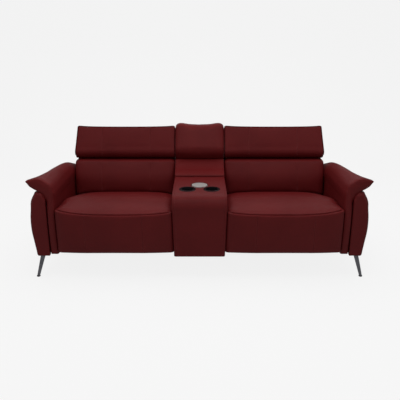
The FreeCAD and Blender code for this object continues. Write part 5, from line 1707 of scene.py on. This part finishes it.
@dataclass(frozen=True)
class Lamp:
    """A soft light.

    Attributes:
        name: The light's name.
        place: Where it stands.
        target: What it points at.
        size: Its width and height.
        power: Its power in watts.
        gleams: Whether its reflection shows.
    """

    name: str
    place: Triple
    target: Triple
    size: Pair
    power: float
    gleams: bool

    def hang(self) -> None:
        """Adds the light to the scene."""
        light = bpy.data.lights.new(self.name, "AREA")
        light.shape = "RECTANGLE"
        light.size, light.size_y = self.size
        light.energy = self.power
        lamp = stand(self.name, light)
        lamp.location = self.place
        lamp.rotation_euler = (Vector(self.target) - Vector(self.place)).to_track_quat("-Z", "Y").to_euler()
        lamp.visible_glossy = self.gleams


@dataclass
class Studio:
    """The floor, the light and the camera, in metres."""

    # The camera.
    lens: float = 47.65
    place: Triple = (0.003, -3.7014, 1.6216)
    tilt_deg: float = 71.86
    # The paper's colour, glow, room and bend.
    paper: Colour = (0.07, 0.07, 0.07)
    paper_glow: float = 0.85
    paper_half: float = 8.0
    paper_front: float = -9.0
    paper_bend: float = 2.2
    paper_radius: float = 1.5
    paper_top: float = 6.0
    paper_level: float = -0.0005
    # The light.
    daylight: float = 0.42
    lamps: tuple[Lamp, ...] = (
        Lamp("overhead", (0.0, -0.3, 3.4), (0.0, 0.0, 0.0), (4.2, 3.0), 94.0, False),
        Lamp("rear", (0.0, 2.2, 2.9), (0.0, 0.0, 0.5), (4.6, 2.0), 27.0, True),
        Lamp("front", (0.0, -4.0, 2.2), (0.0, 0.0, 0.45), (4.0, 2.6), 21.0, False))

    def make(self) -> None:
        """Sets the studio up."""
        self._camera()
        self._paper()
        for lamp in self.lamps:
            lamp.hang()
        world = bpy.data.worlds.new("studio")
        world.use_nodes = True
        background = world.node_tree.nodes["Background"]
        background.inputs["Color"].default_value = (1.0, 1.0, 1.0, 1.0)
        background.inputs["Strength"].default_value = self.daylight
        scene = bpy.context.scene
        scene.world = world
        scene.view_settings.view_transform = "Standard"
        scene.view_settings.look = "None"

    def _camera(self) -> None:
        """Places the camera."""
        lens = bpy.data.cameras.new("camera")
        lens.lens = self.lens
        lens.sensor_width = 36.0
        camera = stand("camera", lens)
        camera.location = self.place
        camera.rotation_euler = (math.radians(self.tilt_deg), 0.0, 0.0)
        bpy.context.scene.camera = camera

    def _paper(self) -> None:
        """Lays the pale paper: a sweep that is floor and backdrop, and walls beside and behind the camera."""
        half, front, top, bend, radius = (self.paper_half, self.paper_front, self.paper_top, self.paper_bend,
                                          self.paper_radius)
        rear = bend + radius
        profile = [(front, self.paper_level), (bend, self.paper_level)]
        profile += [(bend + radius * math.sin(a), radius - radius * math.cos(a))
                    for a in np.linspace(0.1, math.pi / 2, 12)]
        profile += [(rear, top)]
        vertices = [(x, y, z) for y, z in profile for x in (-half, half)]
        faces = [(2 * i, 2 * i + 1, 2 * i + 3, 2 * i + 2) for i in range(len(profile) - 1)]
        base = len(vertices)
        vertices += [(-half, front, 0.0), (half, front, 0.0), (half, rear, 0.0), (-half, rear, 0.0)]
        vertices += [(x, y, top) for x, y, _ in vertices[base:]]
        faces += [tuple(base + k for k in wall) for wall in ((0, 1, 5, 4), (1, 2, 6, 5), (3, 0, 4, 7))]
        mesh = bpy.data.meshes.new("paper_sweep")
        mesh.from_pydata(vertices, [], faces)
        mesh.polygons.foreach_set("use_smooth", [True] * len(mesh.polygons))
        material = bpy.data.materials.new("studio_paper")
        graph = Graph(material)
        fibre = graph.noise(graph.place(), 220.0, 2.0)
        light = tuple(part * 1.03 for part in self.paper)
        graph.surface(base_color=graph.blend(fibre, self.paper, light), roughness=0.95, specular_ior_level=0.0,
                      emission_color=(1.0, 1.0, 1.0), emission_strength=self.paper_glow)
        mesh.materials.append(material)
        sweep = stand("paper_sweep", mesh)
        sweep.visible_diffuse = False
        sweep.visible_glossy = False


KEPT: dict[str, Finishes] = {
    "seat_deck": Finishes.WEBBING, "seat_frame": Finishes.STEEL, "base_rails": Finishes.STEEL,
    "footrest_board": Finishes.BOARD, "footrest_brackets": Finishes.STEEL, "long_links": Finishes.STEEL,
    "short_links": Finishes.STEEL, "drive_tube": Finishes.STEEL, "actuator": Finishes.MOTOR,
    "carriage": Finishes.CARRIAGE, "back_frame": Finishes.BOARD, "back_brackets": Finishes.STEEL,
    "headrest_hinge": Finishes.STEEL, "switch_plate": Finishes.SWITCH, "rocker": Finishes.ROCKER,
    "cup_holder": Finishes.CUP, "charging_disc": Finishes.DISC, "charging_ring": Finishes.CHROME,
    "legs": Finishes.LEG, "centre_legs": Finishes.STEEL, "glides": Finishes.RUBBER,
    "cross_rails": Finishes.STEEL, "power_supply": Finishes.MOTOR,
}


def dress_nodes() -> None:
    """Gives every solid that stays its finish."""
    for name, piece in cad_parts.items():
        plain = name.removeprefix("right_").removeprefix("left_")
        finish = KEPT.get(plain, Finishes.LEATHER)
        if not piece.material_slots:
            piece.data.materials.append(None)
        for slot in piece.material_slots:
            slot.material = finish.made


def main() -> None:
    """Builds the sofa's soft parts, dresses the rest and sets the studio up."""
    logging.basicConfig(level=logging.INFO, format="%(message)s")
    bench = Bench()
    dress_nodes()
    Seat().make(bench)
    Backrest().make(bench)
    Shell().make(bench)
    Console().make(bench)
    Arm().make(bench)
    Studio().make()
    LOG.info("%d pieces made", bench.count)


if __name__ == "__main__":
    main()
